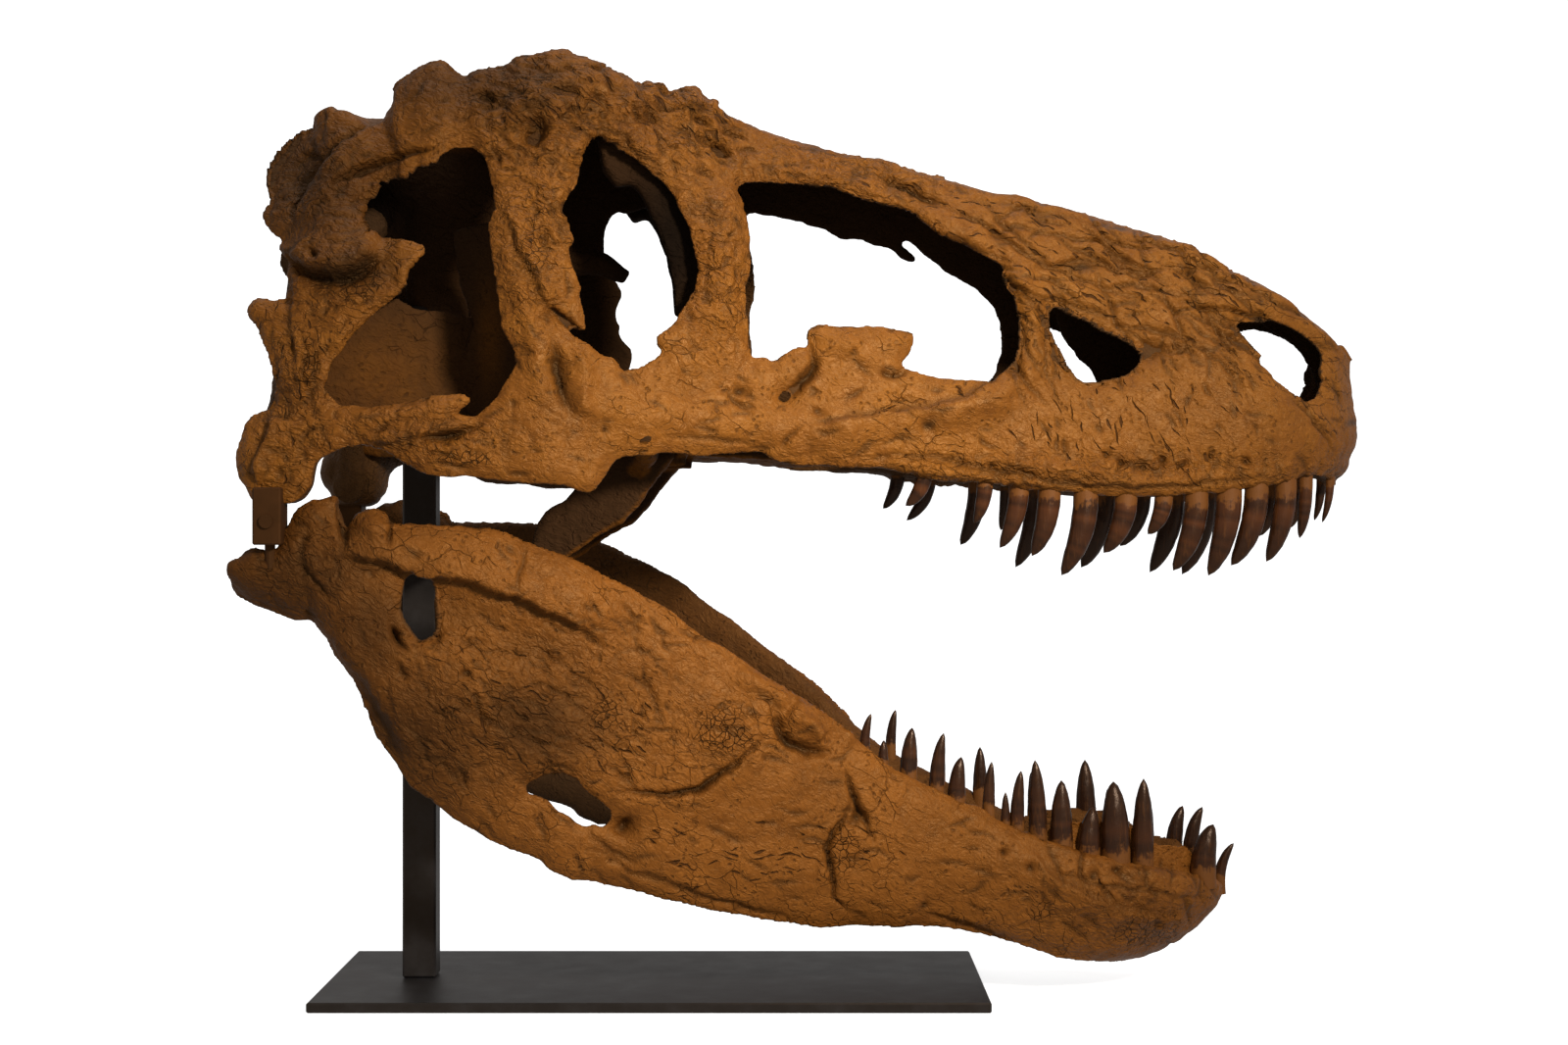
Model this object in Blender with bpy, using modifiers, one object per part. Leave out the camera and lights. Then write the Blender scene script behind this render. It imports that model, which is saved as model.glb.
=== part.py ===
"""A daspletosaurus skull with its lower jaws and teeth, held up on a steel stand.

Metres, +Z up. The snout points to +X and the right cheek faces -Y. The origin is on the
table, under the middle of the base plate.

Bone outlines are drawn on a side-view sheet: across and down, in millimetres at the plane
of symmetry, as the right cheek looks from VIEW_DISTANCE away. A sheet is cut out flat and
then wrapped onto the surface that the bone follows, so one outline gives both cheeks.
"""

import math

import bmesh
import bpy
import numpy as np
from mathutils import Matrix, Vector

# Driving dimensions
SKULL_LENGTH = 1.09
VIEW_DISTANCE = 2.6
EYE_HEIGHT = 0.472
VIEW_X = 0.13
CLEARANCE = 0.0004
BASE_LENGTH = 0.66
BASE_WIDTH = 0.30
BASE_THICKNESS = 0.010
POST_SIDE = 0.034
POST_X = -0.240
SADDLE_TOP = 0.690
SADDLE_SIZE = (0.080, 0.064, 0.008)
CROSSBAR_SIDE = 0.020
CROSSBAR_HEIGHT = 0.442
CROSSBAR_HALF_LENGTH = 0.212
BRACKET_SHEET_BOX = (257, 497, 286, 556)
BRACKET_DEPTHS = (-0.243, -0.207)
PIN_RADIUS = 0.005
PIN_LENGTH = 0.022
BOLT_RADIUS = 0.0065
BOLT_HEIGHT = 0.003
TOOTH_FLATNESS = 0.8
TOOTH_INSET = 0.010
TOOTH_SPLAY = 0.2
ROOT_LENGTH = 0.016
TOOTH_RINGS = (0.0, 0.4, 0.77, 1.0)
TOOTH_TAPER = 1.9
TOOTH_TIP = 0.07

# The side-view sheet: one unit on it in metres, and where the eye looks at it
SHEET_SKULL_LENGTH = 1090.0
SHEET_MM = SKULL_LENGTH / SHEET_SKULL_LENGTH
SHEET_MIDDLE = 800.0
SHEET_EYE = 533.0

# Fineness
BONE_VOXEL = 0.0052
CRANIUM_TRIANGLES = 3900
JAW_TRIANGLES = 900
SLAB_THICKNESS = 0.014
SLAB_VOXEL = 0.0045
EDGE_ROUNDING = 14.0
BALL_SIDES = (16, 10)
ROD_SIDES = 12
WINDOW_SIDES = 14

BONE_COLOUR = (0.34, 0.19, 0.075, 1.0)
TOOTH_COLOUR = (0.06, 0.035, 0.02, 1.0)
STEEL_COLOUR = (0.012, 0.012, 0.013, 1.0)

# Skull roof as seen from the side, from the nape to the tip of the snout
TOP_LINE = [
    (318, 128), (321, 121), (328, 116), (336, 111), (349, 115), (361, 122), (374, 131),
    (386, 130), (400, 119), (405, 108), (407, 92), (412, 85), (428, 74), (448, 67),
    (458, 77), (468, 86), (480, 84), (494, 75), (512, 71), (527, 65), (545, 61),
    (565, 54.5), (586, 62), (604, 69), (617, 77), (632, 82), (643, 92), (665, 91),
    (679, 99), (697, 93), (709, 98), (719, 107), (731, 113), (757, 127), (780, 138),
    (820, 152), (860, 161), (900, 167), (925, 178), (955, 186), (985, 195), (1018, 202),
    (1050, 205), (1080, 214), (1118, 226), (1155, 240), (1190, 249), (1214, 251),
    (1235, 265), (1265, 284), (1298, 300), (1325, 319), (1350, 341), (1367, 358),
    (1374, 372),
]
# Ridge of the roof on the plane of symmetry
MID_LINE = [
    (340, 128), (380, 135), (420, 128), (470, 125), (540, 122), (613, 118), (680, 122),
    (760, 137), (850, 163), (900, 171), (1000, 200), (1100, 222), (1200, 253),
    (1300, 303), (1350, 343), (1374, 373),
]
# Front of the snout: down, across
SNOUT_FRONT = [(372, 1374), (395, 1377), (420, 1379), (445, 1382), (461, 1377), (475, 1373),
               (488, 1366), (497, 1364)]
# Tooth-bearing and cheek edge, from the snout back to the jaw hinge
LOWER_EDGE = [
    (1364, 497), (1358, 488), (1345, 486), (1325, 487), (1290, 495), (1240, 501),
    (1180, 506), (1110, 503), (1050, 497), (1000, 489), (930, 482), (870, 477),
    (810, 474), (795, 471), (781, 462), (740, 462), (680, 462), (638, 466), (624, 476),
    (608, 499), (595, 501), (565, 493), (520, 492), (460, 487), (435, 484), (417, 475),
    (392, 460), (372, 452), (352, 454), (332, 464), (319, 475), (315, 497), (303, 508),
    (294, 514), (268, 513), (255, 508), (252, 496), (242, 483), (241, 466), (249, 443),
    (257, 424), (277, 413), (279, 388), (272, 358), (261, 331), (254, 315), (264, 303),
    (278, 306), (292, 306), (294, 290), (293, 264), (284, 255), (287, 244), (268, 227),
    (266, 215), (273, 203), (269, 178), (281, 154), (303, 132), (318, 128),
]
# Height range over which the cheek leans in from its lower edge to its upper one
CHEEK_FOOT = [(240, 500), (500, 492), (600, 482), (780, 466), (900, 480), (1000, 491),
              (1150, 505), (1260, 500), (1364, 492)]
# Half widths of the skull, in millimetres, at the lower and the upper edge of the cheek
WIDTH_AT = [265, 345, 450, 560, 650, 760, 900, 1000, 1100, 1240]
LOWER_HALF_WIDTH = [225, 235, 238, 228, 200, 165, 140, 125, 112, 95]
UPPER_HALF_WIDTH = [120, 160, 172, 168, 150, 105, 70, 60, 55, 48]
SNOUT_TURN = 1240.0
SNOUT_ARC = 186.0

TEMPORAL_WINDOW = [
    (372, 243), (366, 225), (370, 210), (382, 197), (383, 184), (403, 180), (425, 167),
    (445, 161), (462, 150), (480, 156), (498, 172), (502, 190), (505, 212), (497, 227),
    (500, 252), (506, 290), (510, 330), (524, 358), (526, 372), (510, 398), (500, 412),
    (485, 425), (462, 421), (470, 404), (440, 403), (415, 409), (375, 414), (345, 412),
    (330, 395), (335, 372), (360, 340), (385, 316), (405, 305), (415, 275), (433, 258),
    (433, 248), (413, 244), (390, 241),
]
ORBIT = [
    (600, 143), (613, 135), (632, 150), (657, 165), (680, 186), (694, 213), (705, 232),
    (714, 268), (712, 290), (700, 311), (681, 337), (671, 346), (678, 357), (665, 370),
    (636, 379), (625, 364), (600, 350), (599, 338), (592, 300), (583, 262), (587, 245),
    (574, 214), (588, 190), (592, 165),
]
SNOUT_WINDOW = [
    (754, 192), (762, 185), (835, 185), (855, 189), (875, 198), (918, 207), (940, 218),
    (972, 243), (1000, 256), (1022, 268), (1021, 282), (1034, 300), (1039, 330),
    (1036, 365), (1012, 389), (970, 386), (930, 377), (922, 367), (933, 345), (930, 336),
    (885, 331), (850, 333), (826, 334), (824, 350), (805, 358), (787, 369), (768, 366),
    (763, 325), (766, 280), (765, 235), (757, 200),
]
SMALL_WINDOW = [
    (1073, 313), (1090, 320), (1112, 328), (1145, 345), (1165, 366), (1152, 380),
    (1118, 389), (1100, 386), (1085, 360), (1073, 335),
]
NOSTRIL = [
    (1262, 328), (1300, 326), (1330, 340), (1352, 362), (1350, 388), (1337, 409),
    (1312, 396), (1288, 368), (1283, 355),
]
# Opening in the skull roof above the jaw muscles: across, and share of the way to the ridge
ROOF_WINDOW_CENTRE = (428, 0.50)
ROOF_WINDOW_RADII = (40, 0.25)

# Bones behind the right cheek: outlines on the sheet, the depth at which each lies in metres,
# and half of its thickness in millimetres
WING = [
    (292, 330), (345, 322), (380, 318), (405, 303), (425, 315), (452, 316), (500, 330),
    (535, 372), (580, 398), (640, 428), (700, 450), (700, 476), (600, 470), (500, 452),
    (420, 452), (330, 458), (292, 450),
]
WING_DEPTH = [(292, -0.190), (505, -0.105), (700, -0.085)]
WING_HALF_THICKNESS = 5.0
FLANGE = [
    (585, 462), (692, 462), (668, 492), (652, 515), (635, 533), (612, 546), (598, 556),
    (570, 575), (548, 578), (543, 556), (549, 533), (560, 520), (580, 508), (590, 495),
]
FLANGE_DEPTH = [(540, -0.085), (700, -0.110)]
FLANGE_HALF_THICKNESS = 9.0
ORBIT_RIM = [
    (608, 140), (616, 176), (628, 192), (645, 188), (657, 206), (670, 236), (680, 262),
    (686, 294), (688, 322), (704, 330), (724, 300), (728, 250), (708, 205), (672, 166),
    (640, 138),
]
ORBIT_RIM_DEPTH = [(600, -0.146), (730, -0.128)]
ORBIT_RIM_HALF_THICKNESS = 12.0
WINDOW_RIM = [
    (752, 188), (761, 201), (800, 206), (840, 216), (865, 230), (884, 229), (902, 236),
    (930, 251), (942, 250), (953, 249), (974, 263), (1006, 282), (1027, 303), (1038, 335),
    (1054, 332), (1050, 288), (1030, 258), (975, 230), (940, 206), (880, 186), (835, 175),
    (758, 174),
]
WINDOW_RIM_DEPTH = [(750, -0.104), (900, -0.072), (1060, -0.072)]
WINDOW_RIM_HALF_THICKNESS = 9.0

# Palate, seen from below: across on the sheet and half width; its height on the sheet
PALATE_EDGE = [(690, 100), (800, 122), (900, 112), (1000, 99), (1100, 87), (1200, 76),
               (1290, 62), (1345, 40), (1364, 0)]
PALATE_HOLE = [(800, -26), (800, -80), (850, -88), (930, -78), (950, -52), (930, -26)]
PALATE_LINE = [(690, 448), (900, 452), (1100, 468), (1250, 466), (1364, 452)]
PALATE_HALF_THICKNESS = 4.0
PALATE_VAULT = 0.012
# How much nearer things on the midline's sheet stand when they lie between the cheeks
INNER_SCALE = 0.96

# Back wall of the braincase, right half, seen from behind: distance from the midline, height
OCCIPUT = [
    (6, 128), (-60, 112), (-115, 118), (-150, 140), (-162, 190), (-150, 225), (-190, 262),
    (-200, 292), (-180, 304), (-120, 286), (-60, 296), (-32, 326), (6, 330), (6, 262),
    (-12, 258), (-15, 245), (-12, 232), (6, 228),
]
OCCIPUT_X = -0.334
OCCIPUT_SLANT = 0.03
OCCIPUT_HALF_THICKNESS = 8.0

# Lower jaw, right side
JAW_OUTLINE = [
    (300, 524), (313, 513), (324, 509), (343, 507), (344, 523), (353, 538), (370, 528),
    (384, 524), (400, 541), (460, 540), (500, 541), (530, 552), (560, 563), (600, 579),
    (640, 598), (680, 619), (720, 650), (760, 674), (800, 700), (840, 730), (880, 757),
    (915, 785), (960, 806), (1000, 822), (1040, 846), (1100, 870), (1150, 880),
    (1200, 888), (1240, 896), (1251, 905), (1240, 922), (1220, 943), (1200, 957),
    (1180, 970), (1160, 979), (1145, 983), (1100, 982), (1060, 971), (1020, 959),
    (960, 947), (880, 944), (840, 946), (780, 938), (700, 920), (640, 908), (585, 899),
    (553, 880), (520, 867), (480, 846), (440, 817), (410, 790), (381, 748), (362, 700),
    (340, 668), (316, 634), (280, 625), (250, 612), (237, 600), (232, 580), (245, 571),
    (250, 561), (280, 563), (288, 540),
]
JAW_WINDOW = [(537, 806), (548, 796), (575, 790), (592, 803), (615, 822), (643, 836),
              (640, 856), (610, 848), (575, 834), (558, 814)]
JAW_SLOT = [(415, 588), (442, 592), (443, 644), (426, 653), (410, 622)]
JAW_TOP = [(230, 560), (300, 524), (400, 541), (500, 541), (600, 579), (720, 650), (840, 730),
           (960, 806), (1100, 870), (1250, 900)]
JAW_FOOT = [(230, 600), (316, 634), (381, 748), (480, 846), (585, 899), (780, 938),
            (960, 947), (1145, 983)]
JAW_WIDTH_AT = [230, 350, 450, 560, 700, 830, 950, 1060, 1251]
JAW_HALF_WIDTH = [222, 228, 220, 200, 166, 134, 108, 88, 80]
JAW_TURN = 1060.0
JAW_ARC = 205.0
CHIN_FRONT = [(905, 1251), (922, 1240), (943, 1220), (957, 1200), (970, 1180), (979, 1160),
              (983, 1146)]
# How much higher the left jaw's upper edge runs than the right one's: along X, height
LEFT_JAW_RISE = [(-0.26, 0.0), (-0.14, 0.005), (-0.055, 0.014), (0.0, 0.018), (0.055, 0.018),
                 (0.11, 0.013), (0.166, 0.008), (0.205, 0.0)]

# Teeth from the front backwards: neck across and down, width at the neck, tip across and down
UPPER_RIGHT_TEETH = [
    (1357, 491, 9, 1349, 533), (1332, 494, 15, 1326, 549), (1311, 498, 23, 1292, 573),
    (1281, 501, 25, 1256, 577), (1253, 503, 27, 1233, 587), (1220, 508, 25, 1197, 582),
    (1187, 510, 19, 1171, 545), (1148, 509, 24, 1126, 564), (1107, 505, 26, 1083, 587),
    (1070, 502, 24, 1053, 567), (1039, 498, 21, 1020, 559), (1005, 492, 17, 994, 534),
    (943, 485, 17, 924, 516),
]
UPPER_LEFT_TEETH = [
    (1348, 490, 10, 1341, 531), (1325, 496, 15, 1316, 539), (1297, 500, 18, 1285, 547),
    (1229, 504, 24, 1206, 586), (1196, 504, 24, 1173, 584), (1163, 504, 22, 1143, 557),
    (1125, 503, 25, 1103, 579), (1057, 500, 22, 1036, 579), (1028, 498, 16, 1021, 541),
    (997, 496, 20, 980, 556), (947, 490, 15, 925, 531), (916, 484, 15, 901, 519),
]
LOWER_RIGHT_TEETH = [
    (1245, 896, 12, 1259, 860), (1228, 890, 27, 1238, 841), (1166, 882, 23, 1167, 794),
    (1138, 874, 27, 1140, 797), (1111, 871, 24, 1116, 823), (1083, 863, 24, 1083, 796),
    (1059, 854, 19, 1056, 775), (1038, 843, 15, 1042, 786), (1026, 839, 10, 1026, 808),
    (1009, 826, 13, 1012, 777), (976, 816, 19, 981, 772), (956, 804, 16, 963, 748),
    (927, 789, 18, 931, 742), (901, 776, 11, 902, 755), (882, 764, 11, 889, 728),
]
LOWER_LEFT_TEETH = [
    (1215, 868, 16, 1227, 823), (1198, 866, 18, 1207, 822), (1168, 862, 20, 1168, 801),
    (1135, 860, 20, 1132, 802), (1108, 846, 22, 1107, 775), (1082, 846, 18, 1080, 806),
    (1056, 832, 16, 1053, 786), (1000, 808, 15, 1000, 762), (958, 792, 14, 962, 754),
    (930, 776, 13, 932, 746), (909, 760, 11, 914, 724),
]


def smooth(low, high, value):
    """Rises from 0 to 1 between low and high."""
    t = np.clip((value - low) / (high - low), 0.0, 1.0)
    return t * t * (3.0 - 2.0 * t)


def along(line, at):
    """Second coordinate of a line of points at a first coordinate."""
    xs, ys = zip(*line)
    return np.interp(at, xs, ys)


def shrink(y):
    """How much a sheet distance shrinks on a plane y behind the plane of symmetry."""
    return (VIEW_DISTANCE + y) / VIEW_DISTANCE


def place(u, v, y):
    """World point that shows at (u, v) on the sheet and lies at depth y."""
    k = shrink(y) * SHEET_MM
    return VIEW_X + (u - SHEET_MIDDLE) * k, y + 0.0 * u, EYE_HEIGHT + (SHEET_EYE - v) * k


def turned(a, v, start, arc, front):
    """Sheet position and narrowing where a wall turns in to the plane of symmetry."""
    angle = np.clip((a - start) / arc, 0.0, 1.0) * math.pi / 2
    u = np.where(a > start, start + (along(front, v) - start) * np.sin(angle), a)
    return u, np.cos(angle)


def unrolled(points, start, arc, front):
    """Sheet points with those past the turn moved to where the turn takes them from."""
    result = []
    for u, v in points:
        if u > start:
            share = min(1.0, (u - start) / (along(front, v) - start))
            u = start + arc * math.asin(share) / (math.pi / 2)
        result.append((u, v))
    return result


def roof_span(u, narrowing):
    """Sheet height of the strip that becomes half of the skull roof."""
    return np.interp(u, WIDTH_AT, UPPER_HALF_WIDTH) * narrowing + 4.0


def cranium_surface(a, v):
    """Outer surface of the right half of the skull, as a function of the sheet."""
    u, narrowing = turned(a, v, SNOUT_TURN, SNOUT_ARC, SNOUT_FRONT)
    top = along(TOP_LINE, u)
    height = np.clip((v - top) / (along(CHEEK_FOOT, u) - top), 0.0, 1.0)
    upper = np.interp(u, WIDTH_AT, UPPER_HALF_WIDTH) * SHEET_MM
    lower = np.interp(u, WIDTH_AT, LOWER_HALF_WIDTH) * SHEET_MM
    y = -(upper + (lower - upper) * np.sin(math.pi / 2 * height ** 0.8)) * narrowing
    x, y, z = place(u, np.maximum(v, top), y)
    share = np.clip((top - v) / roof_span(u, narrowing), 0.0, 1.1)
    ridge_u = SHEET_MIDDLE + (x - VIEW_X) / SHEET_MM
    ridge = EYE_HEIGHT + (SHEET_EYE - along(MID_LINE, ridge_u)) * SHEET_MM
    z = np.where(v < top, z + (ridge - z) * (1.0 - (1.0 - share) ** 2), z)
    y = np.where(v < top, y * (1.0 - share), y)
    return np.stack([x, y, z], axis=-1)


def jaw_surface(a, v):
    """Outer surface of the right lower jaw, as a function of the sheet."""
    u, narrowing = turned(a, v, JAW_TURN, JAW_ARC, CHIN_FRONT)
    top = along(JAW_TOP, u)
    height = np.clip((v - top) / (along(JAW_FOOT, u) - top), 0.0, 1.0)
    bulge = 14.0 * np.sin(math.pi * height) - 12.0 * height
    y = -(np.interp(u, JAW_WIDTH_AT, JAW_HALF_WIDTH) + bulge - 6.0) * SHEET_MM * narrowing
    return np.stack(place(u, v, y), axis=-1)


def edge_distance(points, loops):
    """Distance from each sheet point to the nearest stretch of the given open lines."""
    nearest = np.full(len(points), 1e9)
    for loop in loops:
        for (ax, ay), (bx, by) in zip(loop[:-1], loop[1:]):
            dx, dy = bx - ax, by - ay
            length = dx * dx + dy * dy
            if length == 0:
                continue
            t = np.clip(((points[:, 0] - ax) * dx + (points[:, 1] - ay) * dy) / length, 0, 1)
            gap = np.hypot(points[:, 0] - ax - t * dx, points[:, 1] - ay - t * dy)
            nearest = np.minimum(nearest, gap)
    return nearest


def line_mark(points, line, width):
    """A soft stroke along a line: 1 on it, fading over its width."""
    return np.exp(-(edge_distance(points, [line]) / width) ** 2)


def spot_mark(points, centre, radii):
    """A soft spot: 1 at its centre, fading over its radii."""
    du = (points[:, 0] - centre[0]) / radii[0]
    dv = (points[:, 1] - centre[1]) / radii[1]
    return np.exp(-(du * du + dv * dv))


def closed(loop):
    return loop + loop[:1]


def apply_modifiers(obj):
    """Puts what the modifiers give in place of the object's mesh."""
    evaluated = obj.evaluated_get(bpy.context.evaluated_depsgraph_get())
    mesh = bpy.data.meshes.new_from_object(evaluated)
    obj.modifiers.clear()
    old = obj.data
    obj.data = mesh
    bpy.data.meshes.remove(old)
    return obj


def mesh_from_curve(curve_object):
    """A mesh object of a curve object, its caps welded."""
    evaluated = curve_object.evaluated_get(bpy.context.evaluated_depsgraph_get())
    mesh = bpy.data.meshes.new_from_object(evaluated)
    bm = bmesh.new()
    bm.from_mesh(mesh)
    bmesh.ops.remove_doubles(bm, verts=bm.verts, dist=1e-6)
    bmesh.ops.recalc_face_normals(bm, faces=bm.faces)
    bm.to_mesh(mesh)
    bm.free()
    name = curve_object.name
    bpy.data.objects.remove(curve_object)
    obj = bpy.data.objects.new(name, mesh)
    PARTS.objects.link(obj)
    return obj


def slab(name, loops):
    """A flat plate cut to the loops, the first outside and the rest holes in it."""
    curve = bpy.data.curves.new(name, "CURVE")
    curve.dimensions = "2D"
    curve.fill_mode = "BOTH"
    curve.extrude = SLAB_THICKNESS / 2
    for loop in loops:
        spline = curve.splines.new("POLY")
        spline.points.add(len(loop) - 1)
        for point, (u, v) in zip(spline.points, loop):
            point.co = (u * SHEET_MM, v * SHEET_MM, 0.0, 1.0)
        spline.use_cyclic_u = True
    obj = bpy.data.objects.new(name, curve)
    PARTS.objects.link(obj)
    obj = mesh_from_curve(obj)
    remesh = obj.modifiers.new("remesh", "REMESH")
    remesh.mode = "VOXEL"
    remesh.voxel_size = SLAB_VOXEL
    return apply_modifiers(obj)


def wrapped_sheet(name, loops, rims, surface, outer, inner):
    """A plate wrapped onto a surface.

    outer and inner give its thickness in millimetres on either side of the surface, and
    its edges round off along the rims.
    """
    obj = slab(name, loops)
    mesh = obj.data
    flat = np.empty(len(mesh.vertices) * 3)
    mesh.vertices.foreach_get("co", flat)
    flat = flat.reshape(-1, 3)
    points = flat[:, :2] / SHEET_MM
    side = np.clip(flat[:, 2] / (SLAB_THICKNESS / 2), -1.0, 1.0)
    step = 6.0
    along_u = surface(points[:, 0] + step, points[:, 1]) - surface(points[:, 0] - step, points[:, 1])
    along_v = surface(points[:, 0], points[:, 1] + step) - surface(points[:, 0], points[:, 1] - step)
    normal = np.cross(along_u, along_v)
    normal /= np.linalg.norm(normal, axis=1)[:, None] + 1e-12
    normal *= -np.sign(np.sum(normal * np.array([0.0, 1.0, 0.0]), axis=1) + 1e-9)[:, None]
    roundness = np.clip(edge_distance(points, rims) / EDGE_ROUNDING, 0.0, 1.0)
    rounding = 0.4 + 0.6 * np.sqrt(1.0 - (1.0 - roundness) ** 2)
    thickness = np.where(side > 0, outer(points), inner(points)) * SHEET_MM
    result = surface(points[:, 0], points[:, 1]) + normal * (side * thickness * rounding)[:, None]
    mesh.vertices.foreach_set("co", result.ravel())
    mesh.update()
    point_outwards(mesh)
    return obj


def point_outwards(mesh):
    bm = bmesh.new()
    bm.from_mesh(mesh)
    if bm.calc_volume(signed=True) < 0:
        bmesh.ops.reverse_faces(bm, faces=bm.faces)
    bm.to_mesh(mesh)
    bm.free()


def tube(name, points, radii, sides=2):
    """A solid bar along world points, its thickness changing from point to point."""
    curve = bpy.data.curves.new(name, "CURVE")
    curve.dimensions = "3D"
    curve.bevel_depth = 1.0
    curve.bevel_resolution = sides
    curve.use_fill_caps = True
    spline = curve.splines.new("POLY")
    spline.points.add(len(points) - 1)
    for point, place_at, radius in zip(spline.points, points, radii):
        point.co = (*place_at, 1.0)
        point.radius = radius
    obj = bpy.data.objects.new(name, curve)
    PARTS.objects.link(obj)
    obj = mesh_from_curve(obj)
    point_outwards(obj.data)
    return obj


def ellipsoid(name, centre, radii):
    bm = bmesh.new()
    bmesh.ops.create_uvsphere(bm, u_segments=BALL_SIDES[0], v_segments=BALL_SIDES[1], radius=1.0)
    bm.transform(Matrix.Translation(centre) @ Matrix.Diagonal((*radii, 1.0)))
    mesh = bpy.data.meshes.new(name)
    bm.to_mesh(mesh)
    bm.free()
    obj = bpy.data.objects.new(name, mesh)
    PARTS.objects.link(obj)
    return obj


def box(name, low, high):
    low, high = Vector(low), Vector(high)
    bm = bmesh.new()
    bmesh.ops.create_cube(bm, size=1.0)
    bm.transform(Matrix.Translation((low + high) / 2) @ Matrix.Diagonal((*(high - low), 1.0)))
    mesh = bpy.data.meshes.new(name)
    bm.to_mesh(mesh)
    bm.free()
    obj = bpy.data.objects.new(name, mesh)
    PARTS.objects.link(obj)
    return obj


def joined(name, objects, mirrored=()):
    """One object of all the given ones, and of the mirror images of some of them."""
    bm = bmesh.new()
    for obj in list(objects) + list(mirrored):
        bm.from_mesh(obj.data)
    for obj in mirrored:
        copy = bmesh.new()
        copy.from_mesh(obj.data)
        copy.transform(Matrix.Diagonal((1.0, -1.0, 1.0, 1.0)))
        bmesh.ops.reverse_faces(copy, faces=copy.faces)
        mesh = bpy.data.meshes.new("mirror image")
        copy.to_mesh(mesh)
        copy.free()
        bm.from_mesh(mesh)
        bpy.data.meshes.remove(mesh)
    mesh = bpy.data.meshes.new(name)
    bm.to_mesh(mesh)
    bm.free()
    for obj in list(objects) + list(mirrored):
        bpy.data.objects.remove(obj)
    result = bpy.data.objects.new(name, mesh)
    PARTS.objects.link(result)
    return result


def keep_largest_body(mesh):
    """Drops every loose island but the one with the most vertices."""
    bm = bmesh.new()
    bm.from_mesh(mesh)
    unseen = set(bm.verts)
    largest = set()
    while unseen:
        start = unseen.pop()
        island = {start}
        front = [start]
        while front:
            vertex = front.pop()
            for edge in vertex.link_edges:
                other = edge.other_vert(vertex)
                if other in unseen:
                    unseen.remove(other)
                    island.add(other)
                    front.append(other)
        if len(island) > len(largest):
            largest = island
    bmesh.ops.delete(bm, geom=[v for v in bm.verts if v not in largest], context="VERTS")
    bm.to_mesh(mesh)
    bm.free()


def grown_together(obj, voxel, smoothing, triangles):
    """Fuses overlapping forms to one body with rounded joins and few faces."""
    remesh = obj.modifiers.new("remesh", "REMESH")
    remesh.mode = "VOXEL"
    remesh.voxel_size = voxel
    soften = obj.modifiers.new("soften", "SMOOTH")
    soften.factor = 0.5
    soften.iterations = smoothing
    apply_modifiers(obj)
    keep_largest_body(obj.data)
    thin = obj.modifiers.new("thin", "DECIMATE")
    thin.ratio = min(1.0, triangles / (2.0 * len(obj.data.polygons)))
    thin.use_collapse_triangulate = True
    apply_modifiers(obj)
    keep_largest_body(obj.data)
    return obj


def cut(obj, cutters):
    """Takes the cutters away from the object; they stay in their own collection."""
    for cutter in cutters:
        modifier = obj.modifiers.new("cut", "BOOLEAN")
        modifier.operation = "DIFFERENCE"
        modifier.object = cutter
    apply_modifiers(obj)
    keep_largest_body(obj.data)


def as_cutter(obj):
    PARTS.objects.unlink(obj)
    CUTTERS.objects.link(obj)
    obj.hide_render = True
    obj.display_type = "WIRE"
    return obj


def roof_strip_edge():
    """The sheet's far edge, which comes to lie on the plane of symmetry."""
    edge = []
    for (a, _), (u, v) in zip(unrolled(TOP_LINE, SNOUT_TURN, SNOUT_ARC, SNOUT_FRONT), TOP_LINE):
        _, narrowing = turned(np.float64(a), v, SNOUT_TURN, SNOUT_ARC, SNOUT_FRONT)
        edge.append((a, v - 1.04 * float(roof_span(u, narrowing))))
    return edge


def roof_window():
    points = []
    for i in range(WINDOW_SIDES):
        angle = -2 * math.pi * i / WINDOW_SIDES
        u = ROOF_WINDOW_CENTRE[0] + ROOF_WINDOW_RADII[0] * math.cos(angle)
        share = ROOF_WINDOW_CENTRE[1] + ROOF_WINDOW_RADII[1] * math.sin(angle)
        points.append((u, float(along(TOP_LINE, u) - share * roof_span(u, 1.0))))
    return points


def cranium_relief(points):
    """Bosses, rims and hollows of the cheek that stand out from a step away."""
    height = 3.0 + 11.0 * spot_mark(points, (547, 118), (38, 34))
    height -= 9.0 * spot_mark(points, (547, 132), (13, 15))
    height += 9.0 * spot_mark(points, (600, 88), (60, 26))
    height += 7.0 * line_mark(points, [(560, 380), (640, 420), (760, 430)], 24)
    height += 6.0 * line_mark(points, [(300, 250), (350, 262), (420, 225), (520, 190)], 22)
    height -= 7.0 * spot_mark(points, (1100, 350), (70, 60))
    height -= 6.0 * line_mark(points, [(1000, 400), (900, 395), (800, 405)], 18)
    height += 6.0 * line_mark(points, [(730, 190), (738, 260), (735, 340)], 20)
    height += 5.0 * line_mark(points, [(900, 480), (1050, 490), (1240, 492)], 18)
    return height


def cranium_depth(points):
    """Inward thickness: thick along the tooth row and at the jaw hinge."""
    u, v = points[:, 0], points[:, 1]
    foot = along(CHEEK_FOOT, u)
    depth = 8.0 + 18.0 * smooth(foot - 70.0, foot - 30.0, v) * smooth(840.0, 900.0, u)
    depth += 6.0 * smooth(foot - 90.0, foot - 30.0, v) * (1.0 - smooth(700.0, 760.0, u))
    depth += 30.0 * smooth(420.0, 460.0, v) * (1.0 - smooth(300.0, 335.0, u))
    return depth


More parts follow.
